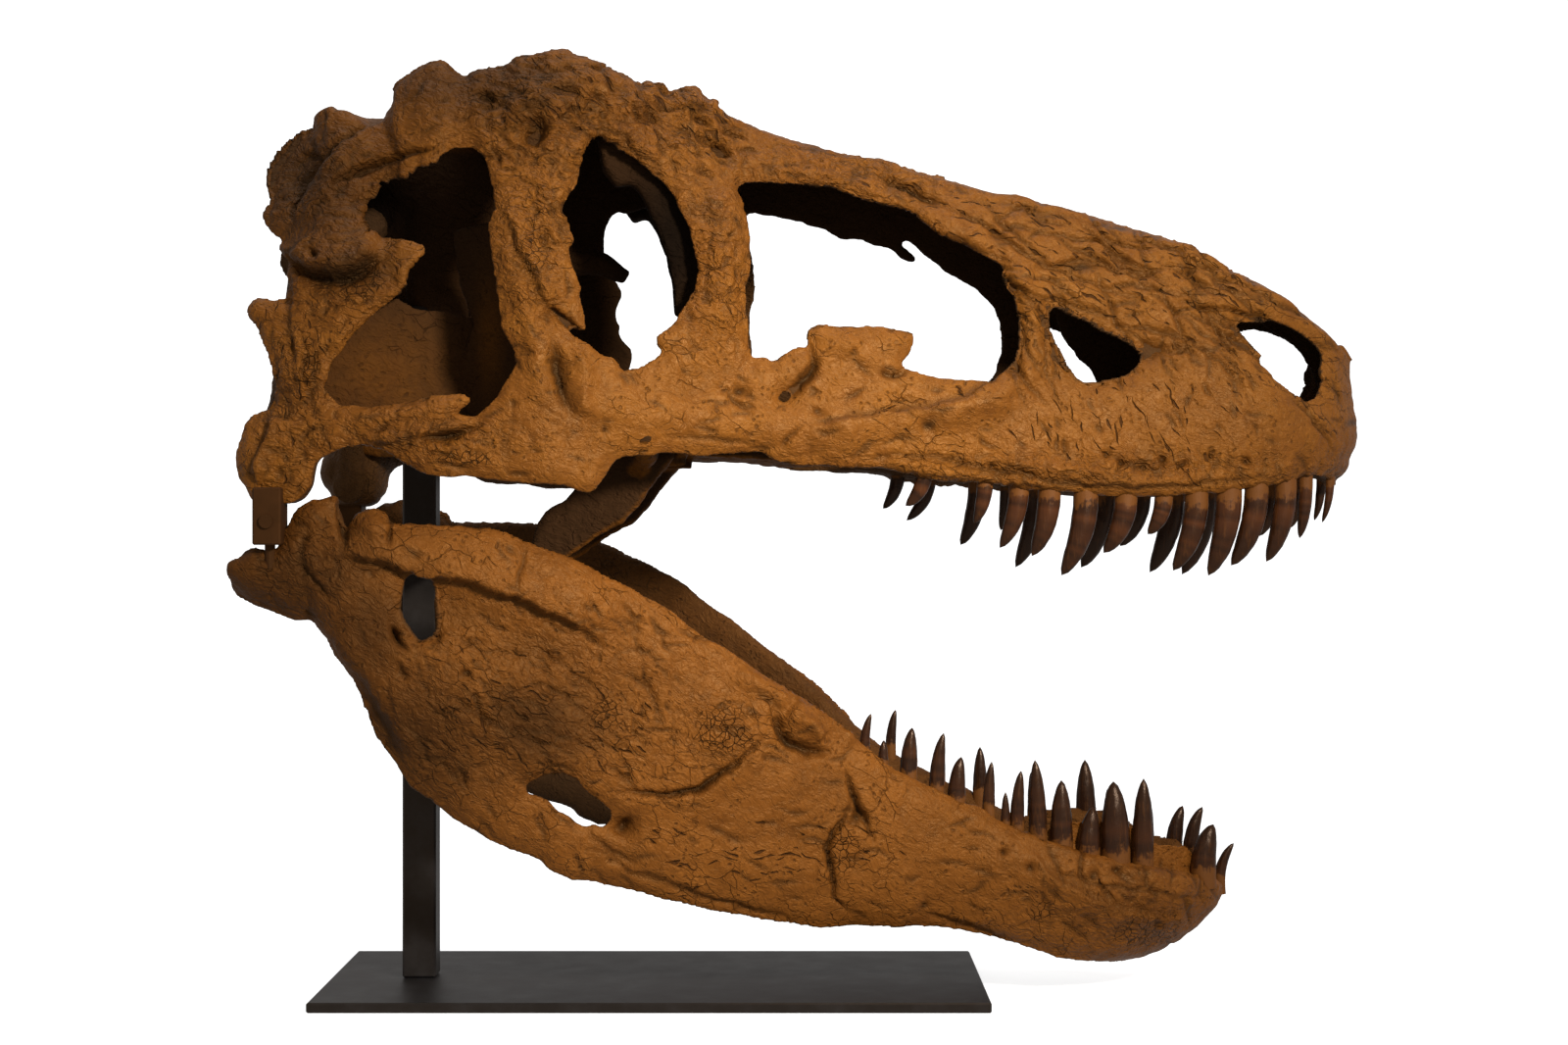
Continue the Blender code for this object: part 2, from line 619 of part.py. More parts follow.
def right_cheek():
    """Cheek, snout side and half of the roof, in one wrapped sheet."""
    def unroll(points):
        return unrolled(points, SNOUT_TURN, SNOUT_ARC, SNOUT_FRONT)

    front = [(SNOUT_TURN + SNOUT_ARC, v) for v, _ in SNOUT_FRONT]
    lower = unroll(LOWER_EDGE)
    outline = roof_strip_edge() + front + lower[1:]
    holes = [unroll(hole) for hole in (TEMPORAL_WINDOW, ORBIT, SNOUT_WINDOW, SMALL_WINDOW, NOSTRIL)]
    holes.append(roof_window())
    rims = [lower] + [closed(hole) for hole in holes]
    return wrapped_sheet("cheek", [outline] + holes, rims, cranium_surface,
                         cranium_relief, cranium_depth)


def flat_plate(name, outline, depth_line, half_thickness):
    """A plate whose depth changes only along the sheet, given by a line of (u, depth)."""
    def surface(u, v):
        return np.stack(place(u, v, along(depth_line, u)), axis=-1)

    def thickness(points):
        return np.full(len(points), half_thickness)

    return wrapped_sheet(name, [outline], [closed(outline)], surface, thickness, thickness)


def inner_bones():
    """Right-hand bones that lie behind the cheek."""
    wing = flat_plate("wing", WING, WING_DEPTH, WING_HALF_THICKNESS)
    flange = flat_plate("flange", FLANGE, FLANGE_DEPTH, FLANGE_HALF_THICKNESS)
    orbit_rim = flat_plate("orbit rim", ORBIT_RIM, ORBIT_RIM_DEPTH, ORBIT_RIM_HALF_THICKNESS)
    window_rim = flat_plate("window rim", WINDOW_RIM, WINDOW_RIM_DEPTH, WINDOW_RIM_HALF_THICKNESS)
    shaft = tube("shaft", [place(312, 270, -0.165), place(304, 340, -0.175),
                           place(292, 420, -0.190), place(284, 492, -0.196)],
                 [0.016, 0.015, 0.018, 0.022])
    knuckle = tube("knuckle", [place(274, 492, -0.228), place(282, 495, -0.205),
                               place(290, 492, -0.178)], [0.018, 0.015, 0.018])
    strut = tube("strut", [place(655, 440, -0.200), place(660, 462, -0.150),
                           place(650, 472, -0.110)], [0.012, 0.012, 0.012])
    brace = tube("brace", [place(300, 270, -0.170), place(345, 250, -0.110),
                           place(380, 230, -0.040)], [0.018, 0.015, 0.018])
    return [wing, flange, orbit_rim, window_rim, shaft, knuckle, strut, brace]


def palate_half():
    """Shelf between the right tooth row and the midline, seen from below."""
    outline = [(u, -y) for u, y in PALATE_EDGE] + [(PALATE_EDGE[-1][0], 6), (PALATE_EDGE[0][0], 6)]

    def surface(a, w):
        x = VIEW_X + (a - SHEET_MIDDLE) * INNER_SCALE * SHEET_MM
        z = EYE_HEIGHT + (SHEET_EYE - along(PALATE_LINE, a)) * INNER_SCALE * SHEET_MM
        return np.stack([x, w * SHEET_MM, z - PALATE_VAULT * (w / 100.0) ** 2], axis=-1)

    def thickness(points):
        return np.full(len(points), PALATE_HALF_THICKNESS)

    return wrapped_sheet("palate", [outline, PALATE_HOLE], [closed(PALATE_HOLE)], surface,
                         thickness, thickness)


def occiput_half():
    """Back wall of the braincase, from the midline to the cheek."""
    def surface(w, v):
        return np.stack([OCCIPUT_X + OCCIPUT_SLANT * np.abs(w) * SHEET_MM, w * SHEET_MM,
                         EYE_HEIGHT + (SHEET_EYE - v) * INNER_SCALE * SHEET_MM], axis=-1)

    def thickness(points):
        return np.full(len(points), OCCIPUT_HALF_THICKNESS)

    return wrapped_sheet("occiput", [OCCIPUT], [closed(OCCIPUT)], surface, thickness, thickness)


def make_cranium():
    midline = [
        ellipsoid("braincase", place(445, 214, 0.0), (0.105, 0.052, 0.078)),
        tube("nape knob", [place(360, 262, 0.0), place(322, 268, 0.0)], [0.020, 0.022]),
        tube("crest", [place(355, 140, 0.0), place(430, 140, 0.0), place(520, 132, 0.0)],
             [0.016, 0.013, 0.016]),
        tube("sphenoid", [place(470, 262, 0.0), place(560, 262, 0.0), place(648, 286, 0.0)],
             [0.030, 0.014, 0.006]),
        tube("basal", [place(450, 250, 0.0), place(452, 320, 0.0)], [0.040, 0.036]),
        tube("vomer", [place(690, 440, 0.0), place(900, 446, 0.0), place(1150, 462, 0.0),
                       place(1330, 452, 0.0)], [0.007, 0.008, 0.010, 0.014]),
    ]
    basal_leg = tube("basal leg", [place(455, 300, -0.020), place(470, 360, -0.070),
                                   place(490, 400, -0.105)], [0.020, 0.013, 0.012])
    paired = [right_cheek(), palate_half(), occiput_half(), basal_leg] + inner_bones()
    cranium = joined("cranium", midline, paired)
    return grown_together(cranium, BONE_VOXEL, 3, CRANIUM_TRIANGLES)


def jaw_relief(points):
    height = 3.0 + 12.0 * line_mark(points, [(350, 560), (440, 566), (520, 585), (600, 628)], 20)
    height -= 6.0 * line_mark(points, [(452, 606), (540, 628), (610, 668)], 16)
    height += 5.0 * line_mark(points, [(640, 870), (800, 900), (960, 915)], 40)
    height += 4.0 * line_mark(points, [(1000, 860), (1120, 905), (1230, 912)], 24)
    return height


def jaw_depth(points):
    u, v = points[:, 0], points[:, 1]
    top = along(JAW_TOP, u)
    depth = 13.0 + 14.0 * (1.0 - smooth(top + 30.0, top + 80.0, v)) * smooth(820.0, 900.0, u)
    depth += 22.0 * (1.0 - smooth(350.0, 420.0, u)) * (1.0 - smooth(600.0, 640.0, v))
    return depth


def make_right_jaw():
    def unroll(points):
        return unrolled(points, JAW_TURN, JAW_ARC, CHIN_FRONT)

    outline = unroll(JAW_OUTLINE)
    holes = [JAW_WINDOW, JAW_SLOT]
    rims = [closed(outline)] + [closed(hole) for hole in holes]
    jaw = wrapped_sheet("mandible_right", [outline] + holes, rims, jaw_surface, jaw_relief, jaw_depth)
    grown_together(jaw, BONE_VOXEL, 2, JAW_TRIANGLES)
    cut(jaw, [as_cutter(box("symphysis plane", (0.3, -CLEARANCE, -0.1), (0.8, 0.2, 0.6)))])
    return jaw


def mirror_image(obj, name):
    mesh = obj.data.copy()
    mesh.name = name
    bm = bmesh.new()
    bm.from_mesh(mesh)
    bm.transform(Matrix.Diagonal((1.0, -1.0, 1.0, 1.0)))
    bmesh.ops.reverse_faces(bm, faces=bm.faces)
    bm.to_mesh(mesh)
    bm.free()
    result = bpy.data.objects.new(name, mesh)
    PARTS.objects.link(result)
    return result


def make_left_jaw(right_jaw):
    """The left jaw mirrors the right one, and hangs a little higher at the back."""
    jaw = mirror_image(right_jaw, "mandible_left")
    for vertex in jaw.data.vertices:
        vertex.co.z += float(along(LEFT_JAW_RISE, vertex.co.x))
    return jaw


def grown(obj, margin):
    """A cutter a little larger than the object, so that a gap is left round it."""
    copy = bpy.data.objects.new(obj.name + " room", obj.data.copy())
    PARTS.objects.link(copy)
    normals = [vertex.normal.copy() for vertex in copy.data.vertices]
    for vertex, normal in zip(copy.data.vertices, normals):
        vertex.co += normal * margin
    return as_cutter(copy)


def row_depths(surface, line):
    """World X and distance from the midline along a row of tooth necks."""
    a = np.linspace(860.0, max(u for u, _ in line), 80)
    x, y, _ = surface(a, along(line, a)).T
    return x, np.maximum(-y - TOOTH_INSET, 0.004)


def tooth(name, neck, width, tip, side, depths):
    """A backward-curved tooth with its root in the bone; side is -1 right, 1 left."""
    def in_row(u, v):
        y = 0.1 * side
        for _ in range(6):
            x, _, _ = place(u, v, y)
            y = side * float(np.interp(x, *depths))
        return Vector(place(u, v, y))

    neck_at = in_row(*neck)
    tip_at = in_row(*tip)
    tip_at.y = (1.0 - TOOTH_SPLAY) * neck_at.y + TOOTH_SPLAY * tip_at.y
    reach = tip_at.z - neck_at.z
    knee = neck_at + Vector((0.08 * (tip_at.x - neck_at.x), 0.0, 0.55 * reach))
    root = neck_at - Vector((0.0, 0.0, math.copysign(ROOT_LENGTH, reach)))
    points, radii = [root], [0.46 * width * SHEET_MM]
    for t in TOOTH_RINGS:
        points.append((1 - t) ** 2 * neck_at + 2 * t * (1 - t) * knee + t * t * tip_at)
        share = 0.5 * (1.0 - t ** TOOTH_TAPER) + TOOTH_TIP * t
        radii.append(share * width * SHEET_MM * shrink(neck_at.y))
    obj = tube(name, points, radii, 1)
    for vertex in obj.data.vertices:
        vertex.co.y = neck_at.y + TOOTH_FLATNESS * (vertex.co.y - neck_at.y)
    return obj


def make_teeth(cranium, right_jaw, left_jaw):
    upper = row_depths(cranium_surface, [(860, 480), (1426, 492)])
    lower = row_depths(jaw_surface, [(860, 745), (1000, 822), (1100, 868), (1265, 900)])
    rows = [
        ("upper_tooth_right", UPPER_RIGHT_TEETH, -1, upper, grown(cranium, CLEARANCE * 1.5)),
        ("upper_tooth_left", UPPER_LEFT_TEETH, 1, upper, None),
        ("lower_tooth_right", LOWER_RIGHT_TEETH, -1, lower, grown(right_jaw, CLEARANCE * 1.5)),
        ("lower_tooth_left", LOWER_LEFT_TEETH, 1, lower, grown(left_jaw, CLEARANCE * 1.5)),
    ]
    bone = None
    for row_name, row, side, depths, cutter in rows:
        bone = cutter or bone
        for number, (u, v, width, tip_u, tip_v) in enumerate(row, start=1):
            name = f"{row_name}_{number:02d}"
            obj = tooth(name, (u, v), width, (tip_u, tip_v), side, depths)
            cut(obj, [bone])
            painted(obj, TOOTH_COLOUR, 0.3, 0.0)


def rounded(obj, width):
    """Takes the sharp edges off a made piece."""
    bevel = obj.modifiers.new("edges", "BEVEL")
    bevel.width = width
    bevel.segments = 1
    return apply_modifiers(obj)


def make_stand():
    """Base plate, post, saddle under the braincase, and the bar that carries the jaws."""
    half = POST_SIDE / 2
    base = rounded(box("base_plate", (-BASE_LENGTH / 2, -BASE_WIDTH / 2, 0.0),
                       (BASE_LENGTH / 2, BASE_WIDTH / 2, BASE_THICKNESS)), 0.0015)
    saddle_foot = SADDLE_TOP - SADDLE_SIZE[2]
    post = rounded(box("post", (POST_X - half, -half, BASE_THICKNESS + CLEARANCE),
                       (POST_X + half, half, saddle_foot - CLEARANCE)), 0.002)
    saddle = rounded(box("saddle", (POST_X - SADDLE_SIZE[0] / 2, -SADDLE_SIZE[1] / 2, saddle_foot),
                         (POST_X + SADDLE_SIZE[0] / 2, SADDLE_SIZE[1] / 2, SADDLE_TOP)), 0.001)
    bar_back = POST_X + half + CLEARANCE
    crossbar = rounded(box("jaw_crossbar",
                           (bar_back, -CROSSBAR_HALF_LENGTH, CROSSBAR_HEIGHT - CROSSBAR_SIDE / 2),
                           (bar_back + CROSSBAR_SIDE, CROSSBAR_HALF_LENGTH,
                            CROSSBAR_HEIGHT + CROSSBAR_SIDE / 2)), 0.001)
    for obj in (base, post, saddle, crossbar):
        painted(obj, STEEL_COLOUR, 0.45, 0.6)
    return saddle, crossbar


def rod(name, start, end, radius):
    start, end = Vector(start), Vector(end)
    direction = end - start
    bm = bmesh.new()
    bmesh.ops.create_cone(bm, cap_ends=True, segments=ROD_SIDES, radius1=radius, radius2=radius,
                          depth=direction.length)
    turn = direction.to_track_quat("Z", "Y").to_matrix().to_4x4()
    bm.transform(Matrix.Translation((start + end) / 2) @ turn)
    mesh = bpy.data.meshes.new(name)
    bm.to_mesh(mesh)
    bm.free()
    obj = bpy.data.objects.new(name, mesh)
    PARTS.objects.link(obj)
    return obj


def make_bracket(name):
    """Right-hand plate that joins jaw hinge and jaw, with its bolt and its pin."""
    left, top, right, bottom = BRACKET_SHEET_BOX
    outer, inner = BRACKET_DEPTHS
    low_x, _, high_z = place(left, top, outer)
    high_x, _, low_z = place(right, bottom, outer)
    plate = rounded(box(name, (low_x, outer, low_z), (high_x, inner, high_z)), 0.0015)
    middle_x, middle_y = (low_x + high_x) / 2, (outer + inner) / 2
    bolt_z = place(0, 532, outer)[2]
    bolt = rod("bolt", (middle_x, outer - BOLT_HEIGHT, bolt_z), (middle_x, outer + 0.004, bolt_z),
               BOLT_RADIUS)
    pin = rod("pin", (middle_x, middle_y, low_z - PIN_LENGTH), (middle_x, middle_y, low_z + 0.004),
              PIN_RADIUS)
    for extra in (bolt, pin):
        union = plate.modifiers.new("union", "BOOLEAN")
        union.operation = "UNION"
        union.object = extra
        apply_modifiers(plate)
        bpy.data.objects.remove(extra)
    return plate


def painted(obj, colour, roughness, metallic):
    material = bpy.data.materials.new(obj.name)
    material.use_nodes = True
    shader = material.node_tree.nodes["Principled BSDF"]
    shader.inputs["Base Color"].default_value = colour
    shader.inputs["Roughness"].default_value = roughness
    shader.inputs["Metallic"].default_value = metallic
    obj.data.materials.clear()
    obj.data.materials.append(material)
    return obj


def build():
    cranium = make_cranium()
    right_jaw = make_right_jaw()
    left_jaw = make_left_jaw(right_jaw)
    saddle, crossbar = make_stand()
    right_bracket = make_bracket("bracket_right")
    left_bracket = mirror_image(right_bracket, "bracket_left")
    room = {obj.name: grown(obj, 1.8 * CLEARANCE)
            for obj in (saddle, crossbar, right_bracket, left_bracket)}
    cut(cranium, [room["saddle"], room["bracket_right"], room["bracket_left"]])
    bone_room = grown(cranium, 1.5 * CLEARANCE)
    cut(right_jaw, [room["jaw_crossbar"], room["bracket_right"], bone_room])
    cut(left_jaw, [room["jaw_crossbar"], room["bracket_left"], bone_room])
    for obj in (cranium, right_jaw, left_jaw, right_bracket, left_bracket):
        painted(obj, BONE_COLOUR, 0.5, 0.0)
    make_teeth(cranium, right_jaw, left_jaw)


for leftover in list(bpy.data.objects):
    bpy.data.objects.remove(leftover)
PARTS = bpy.data.collections.new("daspletosaurus_skull")
CUTTERS = bpy.data.collections.new("cutters")
bpy.context.scene.collection.children.link(PARTS)
bpy.context.scene.collection.children.link(CUTTERS)
build()
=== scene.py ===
"""The looks of a daspletosaurus skull on its steel stand.

Metres, +Z up, snout to +X, right cheek to -Y. Bone outlines are drawn on a side-view sheet:
across and down, in millimetres at the plane of symmetry, as the right cheek looks from
VIEW_DISTANCE away. A sheet is cut out flat, wrapped onto the surface that the bone follows,
fused with its neighbours, and then carved with the grooves, pits and wrinkles of old bone.
"""

import math
from contextlib import contextmanager
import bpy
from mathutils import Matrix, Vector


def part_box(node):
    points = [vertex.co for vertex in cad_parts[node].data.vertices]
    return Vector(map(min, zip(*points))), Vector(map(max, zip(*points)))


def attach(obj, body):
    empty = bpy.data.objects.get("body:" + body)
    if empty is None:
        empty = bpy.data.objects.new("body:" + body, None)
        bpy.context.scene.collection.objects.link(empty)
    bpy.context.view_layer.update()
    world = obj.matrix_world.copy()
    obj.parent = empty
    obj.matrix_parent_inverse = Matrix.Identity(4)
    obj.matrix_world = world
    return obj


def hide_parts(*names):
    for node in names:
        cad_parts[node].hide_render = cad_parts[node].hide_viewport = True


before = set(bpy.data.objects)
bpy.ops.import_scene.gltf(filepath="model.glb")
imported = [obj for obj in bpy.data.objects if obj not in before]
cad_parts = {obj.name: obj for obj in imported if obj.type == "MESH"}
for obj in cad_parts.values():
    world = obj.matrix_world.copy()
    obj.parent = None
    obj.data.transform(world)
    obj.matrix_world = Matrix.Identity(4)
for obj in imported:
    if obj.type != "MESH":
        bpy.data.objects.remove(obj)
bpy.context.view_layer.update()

from types import SimpleNamespace

import bmesh
import bpy
import numpy as np
from mathutils import Matrix, Vector

# Where the sheet is seen from, in metres, and the sheet's own numbers
VIEW_DISTANCE = 2.6
EYE_HEIGHT = 0.472
VIEW_X = 0.13
SHEET_MM = 0.001
SHEET_MIDDLE = 800.0
SHEET_EYE = 533.0

# Fineness of the meshes
SIDE_VOXEL = 0.0022
CORE_VOXEL = 0.0036
JAW_VOXEL = 0.0022
SLAB_THICKNESS = 0.014
SLAB_VOXEL = 0.0026
# Edges of the plates, in millimetres: how far in they round off, how far their outer side
# drops, and the thickness left at the rim
PLATE_ROUNDING = (11.0, 0.0, 2.0)
BONE_ROUNDING = (22.0, 9.0, 4.0)
# Thickness on the outer side of the cheek and the jaw before they are carved
OUTER_THICKNESS = 3.0
# Distance over which a surface's slope is measured
SLOPE_STEP = 6.0
# Half width of a ledge's lip, and how far the directions of the grain blur, in millimetres
LEDGE_LIP = 3.0
GRAIN_BLUR = 20.0
# How strokes wander: height and size of the waves, in millimetres
COARSE_WOBBLE = (2.4, 15.0)
FINE_WOBBLE = (1.2, 5.0)
# Size in metres of the coarsest lumps and creases of old bone
LUMP_SIZE = 0.028
CREASE_SIZE = 0.016
# Faces round a ball and from pole to pole
BALL_SIDES = (20, 12)

# Skull roof as seen from the side, from the nape to the tip of the snout
TOP_LINE = [
    (318, 128), (321, 121), (328, 116), (336, 111), (341, 116), (349, 115), (356, 118),
    (361, 122), (368, 127), (374, 131), (380, 133), (386, 130), (394, 125), (400, 119),
    (405, 108), (407, 92), (412, 85), (420, 80), (428, 74), (437, 69), (448, 67), (453, 72),
    (458, 77), (464, 82), (468, 86), (474, 84), (480, 84), (486, 78), (494, 75), (500, 73),
    (512, 71), (522, 70), (527, 65), (534, 63), (545, 61), (555, 59), (565, 54.5), (573, 55),
    (580, 58), (586, 62), (598, 64), (604, 69), (611, 73), (617, 77), (624, 80), (632, 82),
    (638, 87), (643, 92), (655, 92), (665, 91), (672, 93), (679, 99), (688, 98), (697, 93),
    (705, 93), (709, 98), (713, 104), (719, 107), (725, 105), (729, 108), (731, 113),
    (738, 117), (747, 120), (757, 127), (768, 132), (780, 138), (800, 145), (820, 152),
    (840, 157), (860, 161), (880, 165), (900, 167), (915, 171), (925, 178), (940, 181),
    (955, 186), (970, 191), (985, 195), (1000, 198), (1018, 202), (1035, 201), (1050, 205),
    (1062, 211), (1080, 214), (1100, 220), (1118, 226), (1135, 234), (1155, 240),
    (1175, 243), (1190, 249), (1203, 251), (1214, 251), (1222, 258), (1235, 265),
    (1250, 275), (1265, 284), (1280, 292), (1298, 300), (1312, 309), (1325, 319),
    (1338, 331), (1350, 341), (1360, 350), (1367, 358), (1374, 370),
]
# Ridge of the roof on the plane of symmetry
MID_LINE = [
    (340, 128), (380, 135), (420, 128), (470, 125), (540, 122), (613, 118), (680, 122),
    (760, 137), (850, 163), (900, 171), (1000, 200), (1100, 222), (1200, 253),
    (1300, 303), (1350, 343), (1374, 373),
]
# Front of the snout: down, across
SNOUT_FRONT = [(370, 1374), (384, 1374), (395, 1376), (410, 1377), (420, 1378), (430, 1381),
               (445, 1382), (455, 1381), (461, 1377), (468, 1373), (475, 1373), (482, 1369),
               (488, 1365), (497, 1364)]
# Tooth-bearing and cheek edge, from the snout back to the jaw hinge and up the nape
LOWER_EDGE = [
    (1364, 497), (1355, 487), (1345, 485), (1330, 486), (1310, 490), (1290, 495), (1260, 499),
    (1240, 501), (1210, 504), (1180, 506), (1150, 506), (1110, 503), (1080, 500), (1050, 497),
    (1020, 491), (1000, 489), (960, 487), (930, 482), (900, 478), (870, 477), (830, 474),
    (810, 474), (795, 471), (785, 467), (781, 462), (775, 460), (740, 462), (720, 464),
    (680, 462), (660, 464), (638, 466), (630, 470), (624, 476), (620, 483), (615, 490),
    (608, 499), (602, 502), (595, 501), (588, 499), (580, 496), (565, 493), (545, 493),
    (520, 492), (500, 490), (485, 487), (475, 486), (460, 487), (448, 486), (435, 484),
    (425, 480), (417, 475), (408, 470), (400, 465), (392, 460), (380, 457), (372, 452),
    (362, 455), (352, 454), (342, 459), (332, 464), (324, 469), (319, 475), (317, 485),
    (315, 497), (308, 505), (303, 510), (294, 514), (268, 513), (257, 510), (254, 503),
    (252, 496), (246, 490), (242, 483), (240, 472), (242, 462), (246, 453), (249, 443),
    (251, 433), (257, 424), (266, 418), (277, 414), (278, 400), (279, 388), (277, 378),
    (275, 367), (272, 358), (268, 350), (264, 341), (261, 331), (258, 324), (254, 315),
    (258, 307), (264, 303), (270, 304), (278, 306), (286, 304), (292, 306), (291, 300),
    (294, 290), (292, 280), (293, 264), (289, 262), (284, 255), (283, 250), (287, 244),
    (281, 240), (274, 235), (268, 227), (265, 220), (266, 215), (271, 209), (273, 203),
    (271, 195), (269, 187), (269, 178), (271, 170), (275, 162), (281, 154), (289, 145),
    (296, 138), (303, 132), (311, 129), (318, 128),
]
# Sheet heights between which the cheek leans in from its lower edge to its upper one
CHEEK_FOOT = [(240, 500), (500, 492), (600, 482), (780, 466), (900, 480), (1000, 491),
              (1150, 505), (1260, 500), (1364, 492)]
# Half widths of the skull, in millimetres, at the lower and the upper edge of the cheek
WIDTH_AT = [265, 345, 450, 560, 650, 760, 900, 1000, 1100, 1240]
LOWER_HALF_WIDTH = [225, 235, 238, 228, 200, 165, 140, 125, 112, 95]
UPPER_HALF_WIDTH = [120, 160, 172, 168, 150, 105, 70, 60, 55, 48]
# Between which places on the sheet the cheek gets thicker inwards: across, over the tooth row;
# across, towards the cheekbone; across and down, towards the jaw hinge
TOOTH_ROW_START = (840.0, 900.0)
CHEEKBONE_END = (700.0, 760.0)
HINGE_END = (300.0, 335.0)
HINGE_TOP = (420.0, 460.0)
# Extra height of the roof's strip in millimetres, and how far it runs past the midline
ROOF_EXTRA = 4.0
ROOF_REACH = 1.04
# Where the side starts to turn in to the tip of the snout, and the length of that turn
SNOUT_TURN = 1240.0
SNOUT_ARC = 186.0

TEMPORAL_WINDOW = [
    (372, 243), (366, 225), (370, 210), (382, 197), (383, 184), (403, 180), (425, 167),
    (445, 161), (462, 150), (480, 149), (492, 156), (498, 172), (502, 190), (505, 212),
    (497, 227), (500, 252), (506, 290), (510, 330), (524, 358), (526, 372), (510, 398),
    (500, 412), (485, 425), (472, 424), (462, 421), (478, 412), (480, 406), (470, 402),
    (440, 403), (415, 409), (375, 414), (345, 412), (330, 395), (335, 372), (348, 356),
    (360, 340), (374, 324), (385, 314), (398, 305), (408, 290), (415, 275), (425, 263),
    (434, 257), (432, 248), (413, 244), (390, 241),
]
ORBIT = [
    (600, 143), (606, 138), (613, 135), (622, 139), (632, 150), (645, 158), (657, 165),
    (666, 176), (680, 186), (690, 200), (694, 213), (705, 232), (708, 245), (714, 268),
    (714, 280), (712, 290), (706, 300), (695, 318), (688, 330), (681, 337), (671, 344),
    (673, 352), (678, 357), (672, 365), (655, 375), (636, 379), (630, 368), (625, 364),
    (615, 362), (600, 350), (590, 345), (576, 335), (568, 328), (562, 318), (570, 325),
    (580, 332), (590, 337), (598, 337), (598, 322), (592, 300), (593, 292), (586, 275),
    (583, 262), (582, 252), (587, 245), (583, 235), (580, 222), (574, 214), (580, 200),
    (588, 190), (592, 178), (592, 165), (595, 152),
]
SNOUT_WINDOW = [
    (754, 192), (757, 188), (762, 185), (790, 184), (835, 185), (855, 189), (862, 194),
    (875, 198), (890, 203), (918, 207), (930, 211), (940, 218), (950, 228), (962, 237),
    (972, 243), (985, 248), (1000, 256), (1012, 263), (1022, 268), (1024, 273), (1021, 282),
    (1027, 292), (1034, 300), (1037, 310), (1039, 325), (1040, 352), (1036, 365), (1030, 373),
    (1012, 389), (1000, 387.5), (970, 386), (955, 384), (930, 377), (918, 371), (928, 362),
    (933, 350), (933, 338), (920, 336), (910, 334), (900, 331.5), (885, 331.5), (878, 334),
    (850, 333), (838, 330), (826, 334), (823, 342), (826, 354), (812, 354), (805, 358),
    (793, 366), (787, 369), (784, 364), (778, 363), (768, 366), (765, 355), (763, 325),
    (761, 300), (762, 292), (766, 280), (768, 262), (765, 235), (763, 222), (757, 200),
]
SMALL_WINDOW = [
    (1073, 313), (1078, 313), (1090, 320), (1112, 328), (1122, 336), (1135, 342), (1145, 345),
    (1155, 352), (1163, 360), (1165, 366), (1160, 373), (1152, 380), (1142, 384), (1130, 386),
    (1118, 389), (1108, 389), (1100, 386), (1095, 378), (1085, 360), (1078, 347), (1073, 335),
    (1072, 325),
]
NOSTRIL = [
    (1262, 328), (1290, 328), (1300, 326), (1315, 331), (1330, 340), (1345, 352), (1352, 362),
    (1350, 375), (1351, 388), (1348, 400), (1345, 406), (1337, 409), (1322, 404), (1312, 396),
    (1302, 386), (1295, 377), (1285, 368), (1291, 362), (1283, 355), (1275, 347), (1268, 338),
]
CHEEK_SLIT = [(795, 404), (799, 400), (806, 400), (808, 404), (802, 411), (796, 410)]
CHEEK_WINDOWS = [TEMPORAL_WINDOW, ORBIT, SNOUT_WINDOW, SMALL_WINDOW, NOSTRIL]
# Opening in the skull roof above the jaw muscles: across, and share of the way to the ridge
ROOF_WINDOW_CENTRE = (428, 0.50)
ROOF_WINDOW_RADII = (40, 0.25)
ROOF_WINDOW_SIDES = 24

# Bones behind the right cheek: outlines on the sheet, the depth at which each lies in metres,
# and half of its thickness in millimetres
WING = [
    (292, 330), (345, 322), (380, 318), (405, 303), (425, 315), (452, 316), (500, 330),
    (535, 372), (580, 398), (640, 428), (700, 450), (700, 476), (600, 470), (500, 452),
    (420, 452), (330, 458), (292, 450),
]
WING_DEPTH = [(292, -0.190), (505, -0.105), (700, -0.085)]
# Where painted light falls on the wing's outer side, and where near-black painted shade lies on the
# deepest inner bones
WING_PAINTED_LIGHT_SPOTS = [((385, 390), (75, 70)), ((500, 345), (14, 60))]
PAINTED_DEEP_SHADE_SPOTS = [((690, 240), (60, 130)), ((385, 225), (45, 45))]
# Inner side of the bar between the cheek opening and the orbit
INNER_BAR = [(462, 236), (500, 226), (530, 250), (545, 330), (540, 400), (505, 432), (476, 420),
             (470, 380), (484, 330), (470, 290)]
INNER_BAR_DEPTH = [(462, -0.120), (545, -0.150)]
FLANGE = [
    (585, 462), (692, 462), (668, 492), (652, 515), (635, 533), (612, 546), (598, 556),
    (570, 575), (548, 578), (543, 556), (549, 533), (560, 520), (580, 508), (590, 495),
]
FLANGE_DEPTH = [(540, -0.085), (700, -0.110)]
ORBIT_RIM = [
    (608, 140), (616, 176), (628, 192), (645, 188), (657, 206), (670, 236), (680, 262),
    (686, 294), (688, 322), (704, 330), (724, 300), (728, 250), (708, 205), (672, 166),
    (640, 138),
]
ORBIT_RIM_DEPTH = [(600, -0.146), (730, -0.128)]
SIDE_PLATES = {"wing": (WING, WING_DEPTH, 5.0), "flange": (FLANGE, FLANGE_DEPTH, 9.0),
               "inner bar": (INNER_BAR, INNER_BAR_DEPTH, 6.0),
               "orbit rim": (ORBIT_RIM, ORBIT_RIM_DEPTH, 12.0)}
